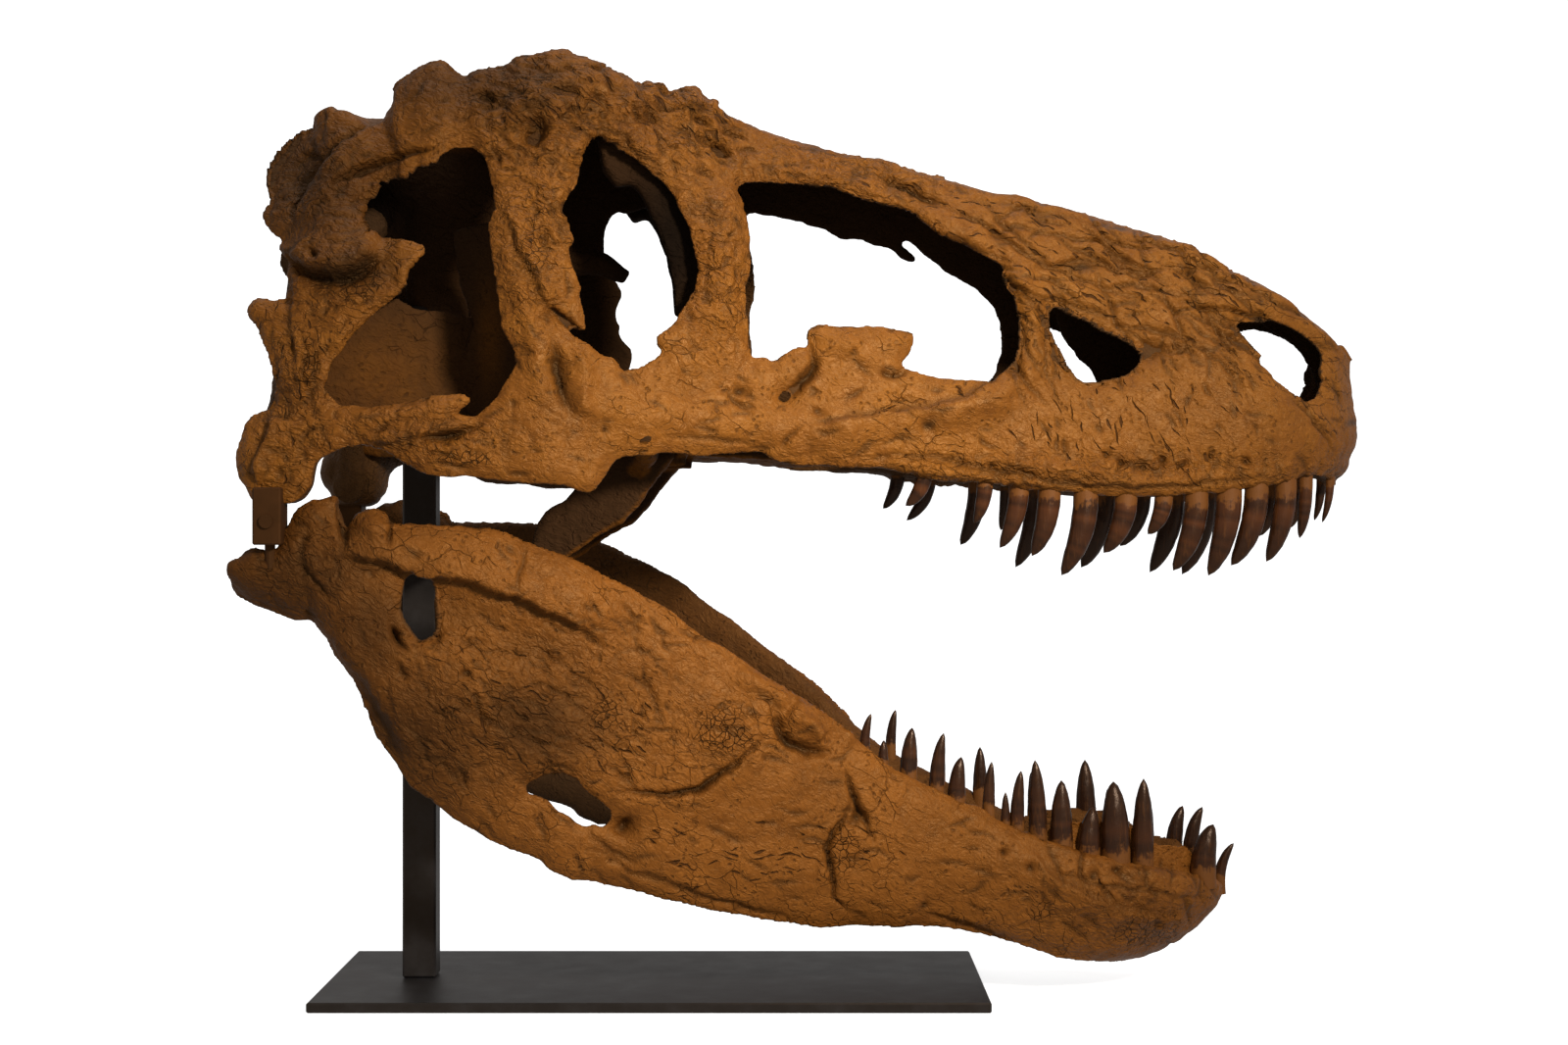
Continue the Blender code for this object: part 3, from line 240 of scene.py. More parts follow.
# Bones of the left side as they show through the windows of the right one: outlines with
# their holes, and depths
FAR_BAND = [
    (750, 176), (763, 218), (775, 219), (800, 223), (838, 233), (850, 240), (862, 246),
    (880, 245), (897, 252), (907, 253), (920, 264), (930, 268), (937, 266), (925, 254),
    (907, 241), (918, 244), (928, 246), (945, 263), (965, 277), (995, 295), (1015, 315),
    (1023, 340), (1022, 358), (1010, 392), (1062, 400), (1062, 320), (1050, 286), (1030, 256),
    (975, 226), (940, 202), (880, 182), (835, 172),
]
FAR_BAND_DEPTH = [(750, 0.085), (900, 0.065), (1060, 0.060)]
FAR_ORBIT = [
    (560, 330), (575, 362), (610, 392), (641, 384), (646, 365), (645, 357), (632, 342),
    (634, 333), (629, 325), (629, 313), (636, 300), (630, 290), (618, 272), (616, 250),
    (617, 233), (622, 223), (629, 216), (640, 218), (657, 213), (663, 213), (668, 230),
    (680, 258), (689, 282), (688, 292), (694, 312), (716, 300), (722, 250), (706, 180),
    (640, 128), (590, 130), (560, 200),
]
FAR_ORBIT_DEPTH = [(560, 0.095), (720, 0.095)]
FAR_SMALL_WINDOW = [(1066, 300), (1077, 322), (1085, 345), (1100, 366), (1112, 379), (1122, 400),
                    (1184, 404), (1190, 350), (1120, 300)]
FAR_SMALL_WINDOW_DEPTH = [(1060, 0.035), (1190, 0.030)]
FAR_NOSTRIL = [(1270, 316), (1292, 334), (1302, 341), (1322, 356), (1338, 378), (1347, 400),
               (1356, 412), (1366, 398), (1362, 352), (1320, 312)]
FAR_NOSTRIL_DEPTH = [(1270, 0.026), (1366, 0.018)]
FAR_PLATES = {"far band": (FAR_BAND, FAR_BAND_DEPTH, 5.0),
              "far orbit": (FAR_ORBIT, FAR_ORBIT_DEPTH, 5.0),
              "far small window": (FAR_SMALL_WINDOW, FAR_SMALL_WINDOW_DEPTH, 5.0),
              "far nostril": (FAR_NOSTRIL, FAR_NOSTRIL_DEPTH, 5.0)}

# Bars of bone: stations along each, as place on the sheet, depth and radius in metres
HINGE_BARS = {
    "shaft": [(312, 270, -0.165, 0.016), (304, 340, -0.175, 0.015), (292, 420, -0.190, 0.018),
              (284, 492, -0.196, 0.022)],
    "knuckle": [(274, 492, -0.228, 0.018), (282, 495, -0.205, 0.015), (290, 492, -0.178, 0.018)],
    "brace": [(300, 270, -0.170, 0.018), (345, 250, -0.110, 0.015), (380, 230, -0.040, 0.018)],
}
MIDLINE_BARS = {
    "nape knob": [(360, 262, 0.0, 0.020), (322, 268, 0.0, 0.022)],
    "crest": [(355, 140, 0.0, 0.016), (430, 140, 0.0, 0.013), (520, 132, 0.0, 0.016)],
    "sphenoid": [(470, 262, 0.0, 0.030), (560, 262, 0.0, 0.018), (615, 270, 0.0, 0.013),
                 (640, 284, 0.0, 0.008)],
    "basal": [(450, 250, 0.0, 0.040), (452, 320, 0.0, 0.036)],
    "vomer": [(690, 440, 0.0, 0.007), (900, 446, 0.0, 0.008), (1150, 462, 0.0, 0.010),
              (1330, 452, 0.0, 0.014)],
}
SIDE_BARS = {
    "basal leg": [(455, 300, -0.020, 0.020), (470, 360, -0.070, 0.013), (490, 400, -0.105, 0.012)],
    "strut": [(655, 440, -0.200, 0.012), (660, 462, -0.150, 0.012), (650, 472, -0.110, 0.012)],
}
BRAINCASE_AT = (445, 214, 0.0)
BRAINCASE_RADII = (0.105, 0.052, 0.078)

# Palate, seen from below: across on the sheet and half width; its height on the sheet
PALATE_EDGE = [(690, 100), (800, 122), (900, 112), (1000, 99), (1100, 87), (1200, 76),
               (1290, 62), (1345, 40), (1364, 0)]
PALATE_HOLE = [(800, -26), (800, -80), (850, -88), (930, -78), (950, -52), (930, -26)]
PALATE_LINE = [(690, 448), (900, 452), (1100, 468), (1250, 466), (1364, 452)]
PALATE_HALF_THICKNESS = 4.0
PALATE_VAULT = 0.012
# How much nearer things on the midline's sheet stand when they lie between the cheeks
INNER_SCALE = 0.96

# Back wall of the braincase, right half, seen from behind: distance from the midline, height
OCCIPUT = [
    (6, 136), (-60, 130), (-108, 132), (-138, 152), (-154, 192), (-150, 225), (-190, 262),
    (-200, 292), (-180, 304), (-120, 286), (-60, 296), (-32, 326), (6, 330), (6, 262),
    (-12, 258), (-15, 245), (-12, 232), (6, 228),
]
OCCIPUT_X = -0.334
OCCIPUT_SLANT = 0.03
OCCIPUT_HALF_THICKNESS = 8.0
# Where the inner bones come out into the open, in metres: how far back the nape starts, how
# low the palate ends and how high the roof starts
NAPE_BACK = (0.28, 0.31)
PALATE_HEIGHT = (0.56, 0.58)
ROOF_HEIGHT = (0.84, 0.86)

# Lower jaw, right side
JAW_OUTLINE = [
    (300, 524), (307, 519), (313, 513), (318, 509), (324, 511), (330, 508), (338, 505),
    (343, 507), (342, 515), (344, 523), (349, 530), (354, 539), (358, 536), (365, 532),
    (375, 525), (384, 524), (390, 527), (395, 534), (400, 541), (460, 540), (500, 541),
    (515, 545), (530, 552), (545, 557), (560, 563), (580, 570), (600, 579), (620, 590),
    (640, 598), (660, 609), (680, 619), (700, 635), (720, 650), (740, 660), (760, 674),
    (780, 690), (800, 700), (820, 716), (840, 730), (865, 748), (880, 757), (897, 772),
    (915, 785), (945, 799), (960, 806), (980, 818), (1000, 822), (1020, 836), (1040, 846),
    (1060, 857), (1080, 862), (1100, 870), (1130, 876), (1150, 880), (1180, 885), (1200, 888),
    (1220, 892), (1240, 896), (1251, 905), (1250, 912), (1240, 922), (1230, 935), (1220, 943),
    (1210, 953), (1195, 962), (1180, 970), (1160, 979), (1145, 983), (1100, 982), (1080, 978),
    (1060, 971), (1040, 964), (1020, 959), (1000, 954), (980, 950), (960, 947), (930, 944),
    (880, 944), (840, 946), (820, 943), (800, 940), (780, 938), (760, 933), (740, 931),
    (720, 927), (700, 920), (680, 917), (660, 912), (640, 908), (620, 905), (605, 900),
    (585, 899), (575, 893), (560, 887), (553, 880), (540, 873), (520, 867), (500, 858),
    (480, 846), (460, 833), (440, 817), (420, 803), (410, 790), (400, 775), (390, 762),
    (381, 748), (374, 730), (367, 713), (362, 700), (352, 685), (340, 668), (333, 655),
    (325, 645), (316, 634), (300, 633), (280, 625), (262, 618), (250, 612), (242, 607),
    (237, 600), (238, 593), (233, 588), (232, 578), (236, 573), (245, 571), (247, 563),
    (258, 557), (280, 563), (288, 540),
]
JAW_WINDOW = [(537, 812), (536, 805), (538, 799), (545, 796), (560, 791), (575, 790), (588, 795),
              (593, 803), (603, 812), (614, 820), (623, 829), (622, 838), (616, 845), (606, 841),
              (600, 845), (590, 841), (580, 833), (570, 830), (560, 818), (548, 813)]
JAW_SLOT = [(415, 588), (422, 586), (430, 587), (442, 592), (443, 645), (436, 650), (428, 653),
            (421, 645), (412, 632), (409, 622), (410, 606)]
JAW_TOP = [(230, 560), (300, 524), (400, 541), (500, 541), (600, 579), (720, 650), (840, 730),
           (960, 806), (1100, 870), (1250, 900)]
JAW_FOOT = [(230, 600), (316, 634), (381, 748), (480, 846), (585, 899), (780, 938),
            (960, 947), (1145, 983)]
JAW_WIDTH_AT = [230, 350, 450, 560, 700, 830, 950, 1060, 1251]
JAW_HALF_WIDTH = [222, 228, 220, 200, 166, 134, 108, 88, 80]
# Between which places on the sheet the jaw gets thicker: over the teeth, and at the hinge
JAW_TEETH_START = (820.0, 900.0)
JAW_HINGE_END = (350.0, 420.0)
JAW_HINGE_FOOT = (600.0, 640.0)
# How far the jaw swells at half height, leans in at its foot and stands in all over
JAW_BULGE = 14.0
JAW_LEAN = 12.0
JAW_INSET = 6.0
JAW_TURN = 1060.0
JAW_ARC = 205.0
CHIN_FRONT = [(905, 1251), (922, 1240), (943, 1220), (957, 1200), (970, 1180), (979, 1160),
              (983, 1146)]
# Bone wall behind the lower teeth, which stands a little above the outer edge
JAW_WALL = [(1040, 850), (1070, 848), (1090, 840), (1110, 838), (1150, 840), (1175, 852),
            (1190, 862), (1220, 864), (1238, 878), (1244, 900), (1040, 880)]
# Where the wall starts and ends inside the jaw's outer surface, in millimetres
JAW_WALL_SETBACK = 16.0
JAW_WALL_DEPTH = 24.0
# How much higher the left jaw's upper edge runs than the right one's: along X, height
LEFT_JAW_RISE = [(-0.26, 0.0), (-0.14, 0.005), (-0.055, 0.014), (0.0, 0.018), (0.055, 0.018),
                 (0.11, 0.013), (0.166, 0.008), (0.205, 0.0)]
# Half of the gap between the two jaws at the chin, in metres
JAW_GAP = 0.0004
# X at which the big pieces are cut across
SKULL_CUTS = (-0.0385, 0.2285)
JAW_CUTS = (0.05,)

# Teeth from the front backwards: neck across and down, width at the neck, tip across and down
UPPER_RIGHT_TEETH = [
    (1357, 491, 9, 1349, 533), (1332, 494, 15, 1326, 549), (1311, 498, 23, 1292, 573),
    (1281, 501, 25, 1256, 577), (1253, 503, 27, 1233, 587), (1220, 508, 25, 1197, 582),
    (1187, 510, 19, 1171, 545), (1148, 509, 24, 1126, 564), (1107, 505, 26, 1083, 587),
    (1070, 502, 24, 1053, 567), (1039, 498, 21, 1020, 559), (1005, 492, 17, 994, 534),
    (943, 485, 17, 924, 516),
]
UPPER_LEFT_TEETH = [
    (1348, 490, 10, 1341, 531), (1325, 496, 15, 1316, 539), (1297, 500, 18, 1285, 547),
    (1229, 504, 24, 1206, 586), (1196, 504, 24, 1173, 584), (1163, 504, 22, 1143, 557),
    (1125, 503, 25, 1103, 579), (1057, 500, 22, 1036, 579), (1028, 498, 16, 1021, 541),
    (997, 496, 20, 980, 556), (947, 490, 15, 925, 531), (916, 484, 15, 901, 519),
]
LOWER_RIGHT_TEETH = [
    (1245, 896, 12, 1259, 860), (1228, 890, 27, 1238, 841), (1166, 882, 23, 1167, 794),
    (1138, 874, 31, 1136, 797), (1111, 871, 24, 1116, 823), (1083, 863, 24, 1083, 796),
    (1059, 854, 19, 1056, 775), (1038, 843, 15, 1042, 786), (1026, 839, 10, 1026, 808),
    (1009, 826, 13, 1012, 777), (976, 816, 19, 981, 772), (956, 804, 16, 963, 748),
    (927, 789, 18, 931, 742), (901, 776, 11, 902, 755), (882, 764, 11, 889, 728),
]
LOWER_LEFT_TEETH = [
    (1215, 868, 16, 1227, 823), (1198, 866, 18, 1207, 822), (1168, 862, 20, 1168, 801),
    (1135, 860, 20, 1132, 802), (1108, 846, 22, 1107, 775), (1082, 846, 18, 1080, 806),
    (1056, 832, 16, 1053, 786), (1000, 808, 15, 1000, 762), (958, 792, 14, 962, 754),
    (930, 776, 13, 932, 746), (909, 760, 11, 914, 724),
]
# Thickness of a tooth as a share of its width
TOOTH_FLATNESS = 0.8
UPPER_TOOTH_SHAPE = {"Taper": 3.6, "Bluntness": 0.66, "Collar": 0.06}
LOWER_TOOTH_SHAPE = {"Taper": 3.0, "Bluntness": 0.62, "Collar": 0.05}
# Share of the light tone that the near and the far teeth of a jaw may take; the far teeth's small
# share paints shade onto them
UPPER_PALENESS = (1.0, 0.2)
LOWER_PALENESS = (0.45, 0.1)
ROOT_LENGTH = 0.016
TOOTH_RINGS = 18
TOOTH_SIDES = 16

# Strokes on the cheek. A groove is a line, its half width and its depth; a ridge the same with
# a rise; a ledge stands up on the upper side of a line that runs to the right and slopes away
# over its reach. Millimetres throughout.
CHEEK_GROOVES = [
    ([(296, 262), (307, 277), (325, 284), (350, 283), (368, 276), (390, 260)], 7.0, 12.0),
    ([(340, 190), (356, 180), (374, 172), (392, 165), (412, 158), (440, 150)], 3.8, 17.0),
    ([(560, 312), (575, 326), (594, 340)], 3.2, 10.0),
    ([(303, 154), (314, 156), (327, 160)], 3.0, 6.0),
    ([(384, 128), (366, 133), (346, 146), (324, 170), (307, 196), (298, 220)], 6.0, 7.0),
    ([(504, 214), (516, 222), (523, 240), (530, 256), (541, 276), (560, 316)], 2.6, 4.0),
    ([(487, 96), (500, 99), (509, 107)], 3.6, 9.0),
    ([(563, 352), (570, 372), (574, 395), (580, 420)], 7.0, 9.0),
    ([(897, 180), (920, 190), (940, 200), (962, 209)], 5.5, 9.0),
    ([(961, 209), (1010, 232), (1046, 258), (1100, 282), (1180, 312)], 2.8, 4.0),
    ([(818, 434), (806, 446), (797, 460)], 2.4, 3.5),
    ([(1313, 407), (1325, 414), (1339, 425), (1350, 444), (1360, 461)], 2.6, 4.0),
    ([(826, 357), (832, 372), (826, 384), (814, 396), (800, 405)], 5.0, 10.0),
    ([(896, 378), (912, 382), (926, 376)], 4.5, 7.0),
    ([(742, 398), (752, 412), (764, 420)], 3.4, 5.0),
    ([(727, 144), (736, 150), (748, 161)], 5.6, 12.0),
    ([(424, 448), (444, 445), (470, 442), (486, 436)], 4.2, 12.0),
    ([(430, 463), (450, 464), (470, 467)], 2.2, 4.0),
    ([(438, 474), (460, 474), (484, 479)], 2.2, 4.0),
    ([(309, 336), (315, 360), (311, 385), (320, 408)], 2.2, 3.5),
    ([(331, 352), (320, 366), (326, 380)], 2.2, 3.0),
    ([(860, 463), (949, 466), (1010, 479), (1110, 494), (1200, 496), (1300, 487)], 3.0, 5.0),
    ([(1214, 300), (1252, 326), (1282, 352)], 2.6, 3.0),
    ([(680, 446), (730, 448), (775, 452)], 2.8, 3.0),
]
CHEEK_RIDGES = [
    ([(560, 395), (640, 420), (760, 432), (900, 445)], 22.0, 6.0),
    ([(388, 124), (440, 112), (500, 108)], 20.0, 3.0),
    ([(733, 190), (738, 260), (735, 340)], 15.0, 5.0),
    ([(1034, 262), (1050, 300), (1056, 340), (1050, 380), (1010, 412), (940, 432)], 11.0, 5.0),
    ([(900, 482), (1050, 492), (1240, 494), (1350, 480)], 9.0, 4.0),
    ([(334, 360), (352, 338), (375, 314), (395, 302), (409, 290), (412, 272), (431, 255)],
     5.0, 4.0),
    ([(588, 352), (597, 385), (592, 425)], 8.0, 4.0),
    ([(512, 240), (535, 310), (548, 360), (552, 420)], 9.0, 4.0),
    ([(372, 205), (366, 222), (371, 240), (392, 245)], 7.0, 4.0),
    ([(575, 170), (598, 135), (640, 138), (672, 168)], 9.0, 5.0),
    ([(780, 170), (880, 192), (960, 228), (1020, 258)], 10.0, 4.0),
    ([(360, 425), (420, 424), (470, 412)], 8.0, 4.0),
    ([(372, 196), (400, 184), (428, 172), (452, 160)], 4.0, 6.0),
]
CHEEK_LEDGES = [
    ([(286, 250), (300, 268), (325, 280), (350, 279), (372, 272), (398, 254)], 32.0, 17.0),
    ([(880, 474), (960, 482), (1050, 491), (1130, 495), (1210, 496)], 10.0, 3.5),
    ([(990, 466), (1050, 478), (1110, 484), (1170, 486)], 10.0, 3.0),
    ([(394, 124), (374, 131), (350, 146), (328, 171), (312, 196), (303, 217), (297, 236)],
     28.0, 11.0),
    ([(504, 214), (516, 222), (523, 240), (530, 256), (541, 276), (560, 316)], 16.0, 6.0),
    ([(1036, 366), (1014, 393), (981, 407), (931, 419), (890, 424), (850, 430), (815, 440)],
     24.0, 7.0),
    ([(359, 453), (400, 451), (425, 447), (444, 443), (486, 437)], 14.0, 6.0),
    ([(278, 417), (275, 445), (261, 477), (266, 497)], 22.0, 8.0),
    ([(294, 268), (300, 300), (296, 330), (310, 410)], 30.0, 4.0),
]
# Round forms and pits: centre on the sheet, radii, height
CHEEK_BOSSES = [
    ((547, 116), (34, 30), 12.0), ((600, 86), (56, 24), 8.0), ((1100, 350), (70, 60), -6.0),
    ((547, 128), (13, 13), -17.0), ((543, 141), (10, 8), -9.0), ((1178, 356), (17, 12), -10.0),
    ((300, 178), (30, 44), -12.0), ((338, 236), (40, 26), 7.0),
    ((648, 104), (14, 12), 5.0), ((704, 106), (12, 10), 6.0), ((430, 90), (24, 16), 3.0),
    ((290, 200), (14, 18), 4.0), ((262, 318), (12, 12), 5.0),
    ((258, 462), (14, 26), 6.0), ((655, 350), (18, 24), 4.0), ((700, 395), (26, 18), -3.0),
    ((860, 350), (22, 14), 5.0), ((1280, 420), (60, 40), 4.0),
]
CHEEK_PITS = [
    ((544, 137), (11, 9), -8.0),
    ((325, 262), (5, 5), -9.0), ((1214, 275), (7, 5), -6.0), ((1105, 271), (20, 7), -5.0),
    ((1012, 475), (4, 4), -6.0), ((1145, 473), (5, 4), -6.0), ((1165, 476), (4, 4), -6.0),
    ((1187, 467), (5, 4), -6.0), ((1207, 474), (5, 4), -6.0), ((1235, 466), (4, 4), -6.0),
    ((1273, 470), (6, 4), -7.0), ((1130, 462), (4, 4), -5.0), ((756, 400), (6, 5), -6.0),
    ((836, 420), (6, 4), -5.0), ((948, 432), (9, 8), -5.0), ((620, 150), (5, 4), -5.0),
]
# Spots where the surface has broken into small plates: centre on the sheet, radii
CHEEK_CRACKED = [((372, 293), (32, 28)), ((318, 372), (12, 44)), ((470, 468), (40, 12)),
                 ((545, 250), (20, 40))]
# Way the grain runs at places on the sheet, in degrees downwards from straight ahead
CHEEK_GRAIN = [
    ((1000, 230), 20), ((1150, 290), 28), ((1280, 320), 35), ((1200, 420), 62), ((1080, 420), 65),
    ((1320, 450), 48), ((960, 440), 5), ((850, 440), -10), ((700, 440), 5), ((640, 400), 25),
    ((735, 270), 85), ((690, 130), 40), ((640, 110), 30), ((545, 250), 70), ((520, 130), 20),
    ((560, 90), 10), ((420, 120), -35), ((340, 190), -50), ((320, 240), 20), ((310, 340), 85),
    ((380, 290), -40), ((290, 450), 100), ((450, 470), 5), ((430, 425), -10), ((290, 190), -60),
]
# Areas of short slits along the grain: corners, how many, lengths, half widths, depth
CHEEK_FURROWS = [
    (((240, 50), (1385, 520)), 420, (9, 30), (1.8, 3.0), 2.6),
    (((990, 215), (1330, 380)), 110, (40, 110), (1.8, 2.8), 4.6),
    (((500, 60), (760, 180)), 120, (12, 34), (1.8, 3.0), 4.0),
]
# Spots where the surface is crumpled like bark
CHEEK_CRUMPLED = [
    ((560, 110), (120, 60)), ((545, 220), (42, 110)), ((690, 120), (90, 70)),
    ((725, 270), (34, 90)), ((330, 190), (80, 70)), ((345, 290), (60, 40)),
    ((300, 400), (40, 90)), ((430, 445), (90, 30)),
    ((850, 175), (120, 40)), ((1120, 478), (220, 16)),
]

JAW_GROOVES = [
    ([(1066, 886), (1120, 902), (1190, 912), (1236, 918)], 3.0, 3.5),
    ([(537, 559), (533, 575), (525, 593), (527, 608)], 2.2, 3.5),
    ([(632, 810), (687, 810), (713, 806), (735, 791), (752, 778), (780, 754)], 3.4, 9.0),
    ([(566, 784), (537, 759), (516, 746), (494, 731), (444, 715)], 2.6, 4.0),
    ([(790, 726), (794, 742), (806, 758), (824, 768), (844, 767)], 6.0, 13.0),
    ([(768, 704), (796, 722)], 4.0, 4.0),
    ([(865, 789), (870, 806), (876, 823), (890, 858)], 3.2, 9.0),
    ([(870, 816), (858, 838), (848, 850), (843, 866), (848, 884), (852, 915), (866, 932)],
     2.8, 8.0),
    ([(848, 850), (862, 838), (882, 847)], 2.4, 4.0),
    ([(600, 867), (643, 889), (730, 917), (809, 938)], 3.6, 4.0),
    ([(930, 928), (985, 945), (1035, 962)], 3.4, 3.0),
    ([(366, 690), (378, 715), (392, 746), (410, 774)], 10.0, 5.0),
    ([(303, 577), (320, 595), (336, 612)], 2.8, 4.0),
    ([(312, 540), (306, 566), (310, 600)], 5.0, 4.0),
    ([(346, 518), (350, 540), (353, 562)], 5.0, 8.0),
    ([(393, 528), (397, 546), (398, 560)], 3.0, 6.0),
    ([(400, 640), (405, 655), (414, 664)], 4.0, 7.0),
    ([(537, 655), (560, 668), (590, 690)], 2.4, 3.0),
    ([(468, 652), (492, 664), (520, 668)], 2.4, 3.0),
    ([(540, 690), (566, 706), (600, 716)], 2.4, 3.0),
    ([(406, 680), (415, 692)], 3.0, 5.0),
    ([(605, 855), (622, 872), (650, 880)], 3.0, 4.0),
]
JAW_RIDGES = [
    ([(640, 875), (800, 900), (960, 915)], 36.0, 5.0),
    ([(1000, 862), (1120, 905), (1230, 914)], 22.0, 4.0),
    ([(803, 724), (822, 738), (840, 754)], 9.0, 10.0),
    ([(743, 684), (790, 708), (836, 728), (880, 762)], 9.0, 5.0),
    ([(340, 640), (380, 700), (420, 770)], 10.0, 3.0),
    ([(1030, 846), (1100, 876), (1160, 890), (1242, 902)], 5.0, 3.5),
]
JAW_LEDGES = [
    ([(320, 560), (397, 577), (444, 586), (494, 598), (525, 611), (569, 630), (600, 645),
      (630, 666)], 46.0, 14.0),
    ([(566, 784), (537, 759), (516, 746), (494, 731), (470, 722), (444, 715)], 20.0, 5.0),
    ([(780, 756), (752, 780), (735, 793), (713, 808), (687, 812), (632, 812)], 16.0, 4.0),
    ([(1225, 940), (1160, 930), (1130, 924), (1095, 907), (1070, 892), (1048, 862)], 18.0, 6.0),
    ([(398, 690), (402, 715), (410, 745)], 14.0, 3.0),
]
JAW_BOSSES = [
    ((319, 527), (14, 12), 8.0), ((381, 539), (16, 12), 9.0), ((250, 588), (20, 22), 5.0),
    ((460, 612), (20, 24), -6.0), ((610, 745), (90, 60), -4.0), ((738, 745), (40, 34), 3.0),
    ((470, 630), (70, 26), -7.0), ((540, 662), (60, 26), -8.0), ((610, 706), (50, 24), -5.0),
]
JAW_PITS = [
    ((874, 834), (9, 9), -8.0), ((403, 646), (5, 10), -8.0), ((478, 687), (5, 4), -6.0),
    ((636, 845), (11, 10), -15.0),
    ((1026, 871), (5, 4), -6.0), ((1052, 884), (6, 5), -6.0), ((1117, 893), (6, 5), -5.0),
    ((1139, 889), (5, 4), -5.0), ((942, 924), (5, 4), -4.0), ((1180, 940), (5, 4), -4.0),
]
JAW_CRACKED = [((738, 745), (44, 34)), ((1064, 930), (22, 14)), ((1170, 948), (50, 22)),
               ((856, 872), (30, 34)), ((560, 800), (30, 26)), ((620, 730), (24, 30))]
JAW_GRAIN = [
    ((500, 700), 35), ((600, 700), 40), ((500, 570), 10), ((620, 620), 35), ((800, 860), 12),
    ((1000, 900), 15), ((1150, 930), 5), ((400, 700), 60), ((480, 820), 45), ((270, 590), 20),
    ((360, 600), 70), ((1110, 900), 80), ((1200, 915), 75),
]
# Spots where painted shade darkens the bone, standing in for the lamp's light falling off
CHEEK_PAINTED_FALLOFF_SHADE = [((325, 195), (90, 90)), ((300, 180), (60, 90)), ((480, 88), (120, 42)),
                 ((360, 275), (50, 30))]
JAW_PAINTED_FALLOFF_SHADE = [((290, 590), (130, 90)), ((375, 640), (60, 70)), ((430, 760), (90, 90)),
               ((540, 740), (70, 50))]
# Spots where slits cross the bone
CHEEK_SLASHED = [
    ((1150, 425), (170, 60)), ((1160, 290), (200, 80)), ((980, 220), (140, 40)),
    ((690, 110), (90, 50)), ((300, 380), (50, 90)), ((560, 100), (80, 50)),
]
JAW_FURROWS = [
    (((235, 505), (1255, 985)), 300, (12, 40), (1.8, 3.0), 2.2),
    (((1060, 880), (1235, 925)), 34, (10, 24), (1.7, 2.4), 2.6),
    (((430, 620), (700, 800)), 90, (10, 40), (1.7, 2.4), 3.0),
]
JAW_SLASHED = [((560, 720), (150, 80)), ((780, 870), (160, 40)), ((1130, 900), (90, 24))]
JAW_CRUMPLED = [((520, 720), (150, 90)), ((740, 745), (70, 40)), ((320, 580), (60, 60)),
                ((1150, 940), (90, 30))]
# Where painted shade darkens the inner face of the far jaw, which shows through the near one, as on
# the near one's sheet
JAW_PAINTED_SHADE_SPOTS = [((555, 868), (80, 50)), ((390, 640), (60, 60))]
CHEEK_WEAR = {
    "grooves": CHEEK_GROOVES, "ridges": CHEEK_RIDGES, "ledges": CHEEK_LEDGES,
    "bosses": CHEEK_BOSSES, "pits": CHEEK_PITS, "furrows": CHEEK_FURROWS, "first_seed": 41,
    "grain": CHEEK_GRAIN, "crumpled": CHEEK_CRUMPLED, "crumpling": 1.0,
    "cracked": CHEEK_CRACKED, "stained": CHEEK_PAINTED_FALLOFF_SHADE, "slashed": CHEEK_SLASHED,
}
JAW_WEAR = {
    "grooves": JAW_GROOVES, "ridges": JAW_RIDGES, "ledges": JAW_LEDGES,
    "bosses": JAW_BOSSES, "pits": JAW_PITS, "furrows": JAW_FURROWS, "first_seed": 47,
    "grain": JAW_GRAIN, "crumpled": JAW_CRUMPLED, "crumpling": 0.5,
    "cracked": JAW_CRACKED, "stained": JAW_PAINTED_FALLOFF_SHADE, "slashed": JAW_SLASHED,
}

# Linear colours of the finishes
# Darkest bone tone, also used to paint shade into creases, pores, webs and slits
BONE_DARK_TONE_AND_CREASE_SHADE = (0.042, 0.013, 0.003)
# Painted shade where the lamp's light falls off
BONE_SHADED = (0.032, 0.0105, 0.0024)
# Painted shade in grooves, pits, cracks, creases and under ledges
BONE_PAINTED_HOLLOW_SHADE = (0.014, 0.006, 0.002)
# Painted shade on inner faces and on what shows through the windows
BONE_PAINTED_CAVITY_SHADE = (0.036, 0.0165, 0.0070)
# Near-black painted shade on the most deeply buried inner bones
BONE_PAINTED_DEEP_SHADE = (0.0048, 0.0030, 0.0022)
BONE_SHEEN = (1.0, 0.58, 0.25)
# Height in metres of the finest relief
BONE_BUMP = 0.0013
TOOTH_NECK = (0.135, 0.045, 0.007)
TOOTH_BODY = (0.066, 0.020, 0.006)
TOOTH_DARK = (0.016, 0.006, 0.003)
TOOTH_TIP_COLOUR = (0.020, 0.0075, 0.003)
TOOTH_SHEEN = (1.0, 0.72, 0.55)
TOOTH_GLOSS = 0.30
PAINT_GLOSS = 0.3
BRACKET_BROWN = (0.029, 0.010, 0.003)
STEEL_BLACK = (0.012, 0.012, 0.013)
# Tilt of the lumps, threshold of the slits, light and middling colour, and gloss
SKULL_BONE = (0.3, 0.90, (0.226, 0.078, 0.0095), (0.156, 0.051, 0.0068), 0.32)
JAW_BONE = (0.6, 0.98, (0.238, 0.080, 0.0120), (0.152, 0.049, 0.0070), 0.28)
INNER_BONE = (0.3, 1.02, (0.240, 0.083, 0.009), (0.158, 0.051, 0.006), 0.06)
PAPER_WHITE = (0.74, 0.74, 0.74)

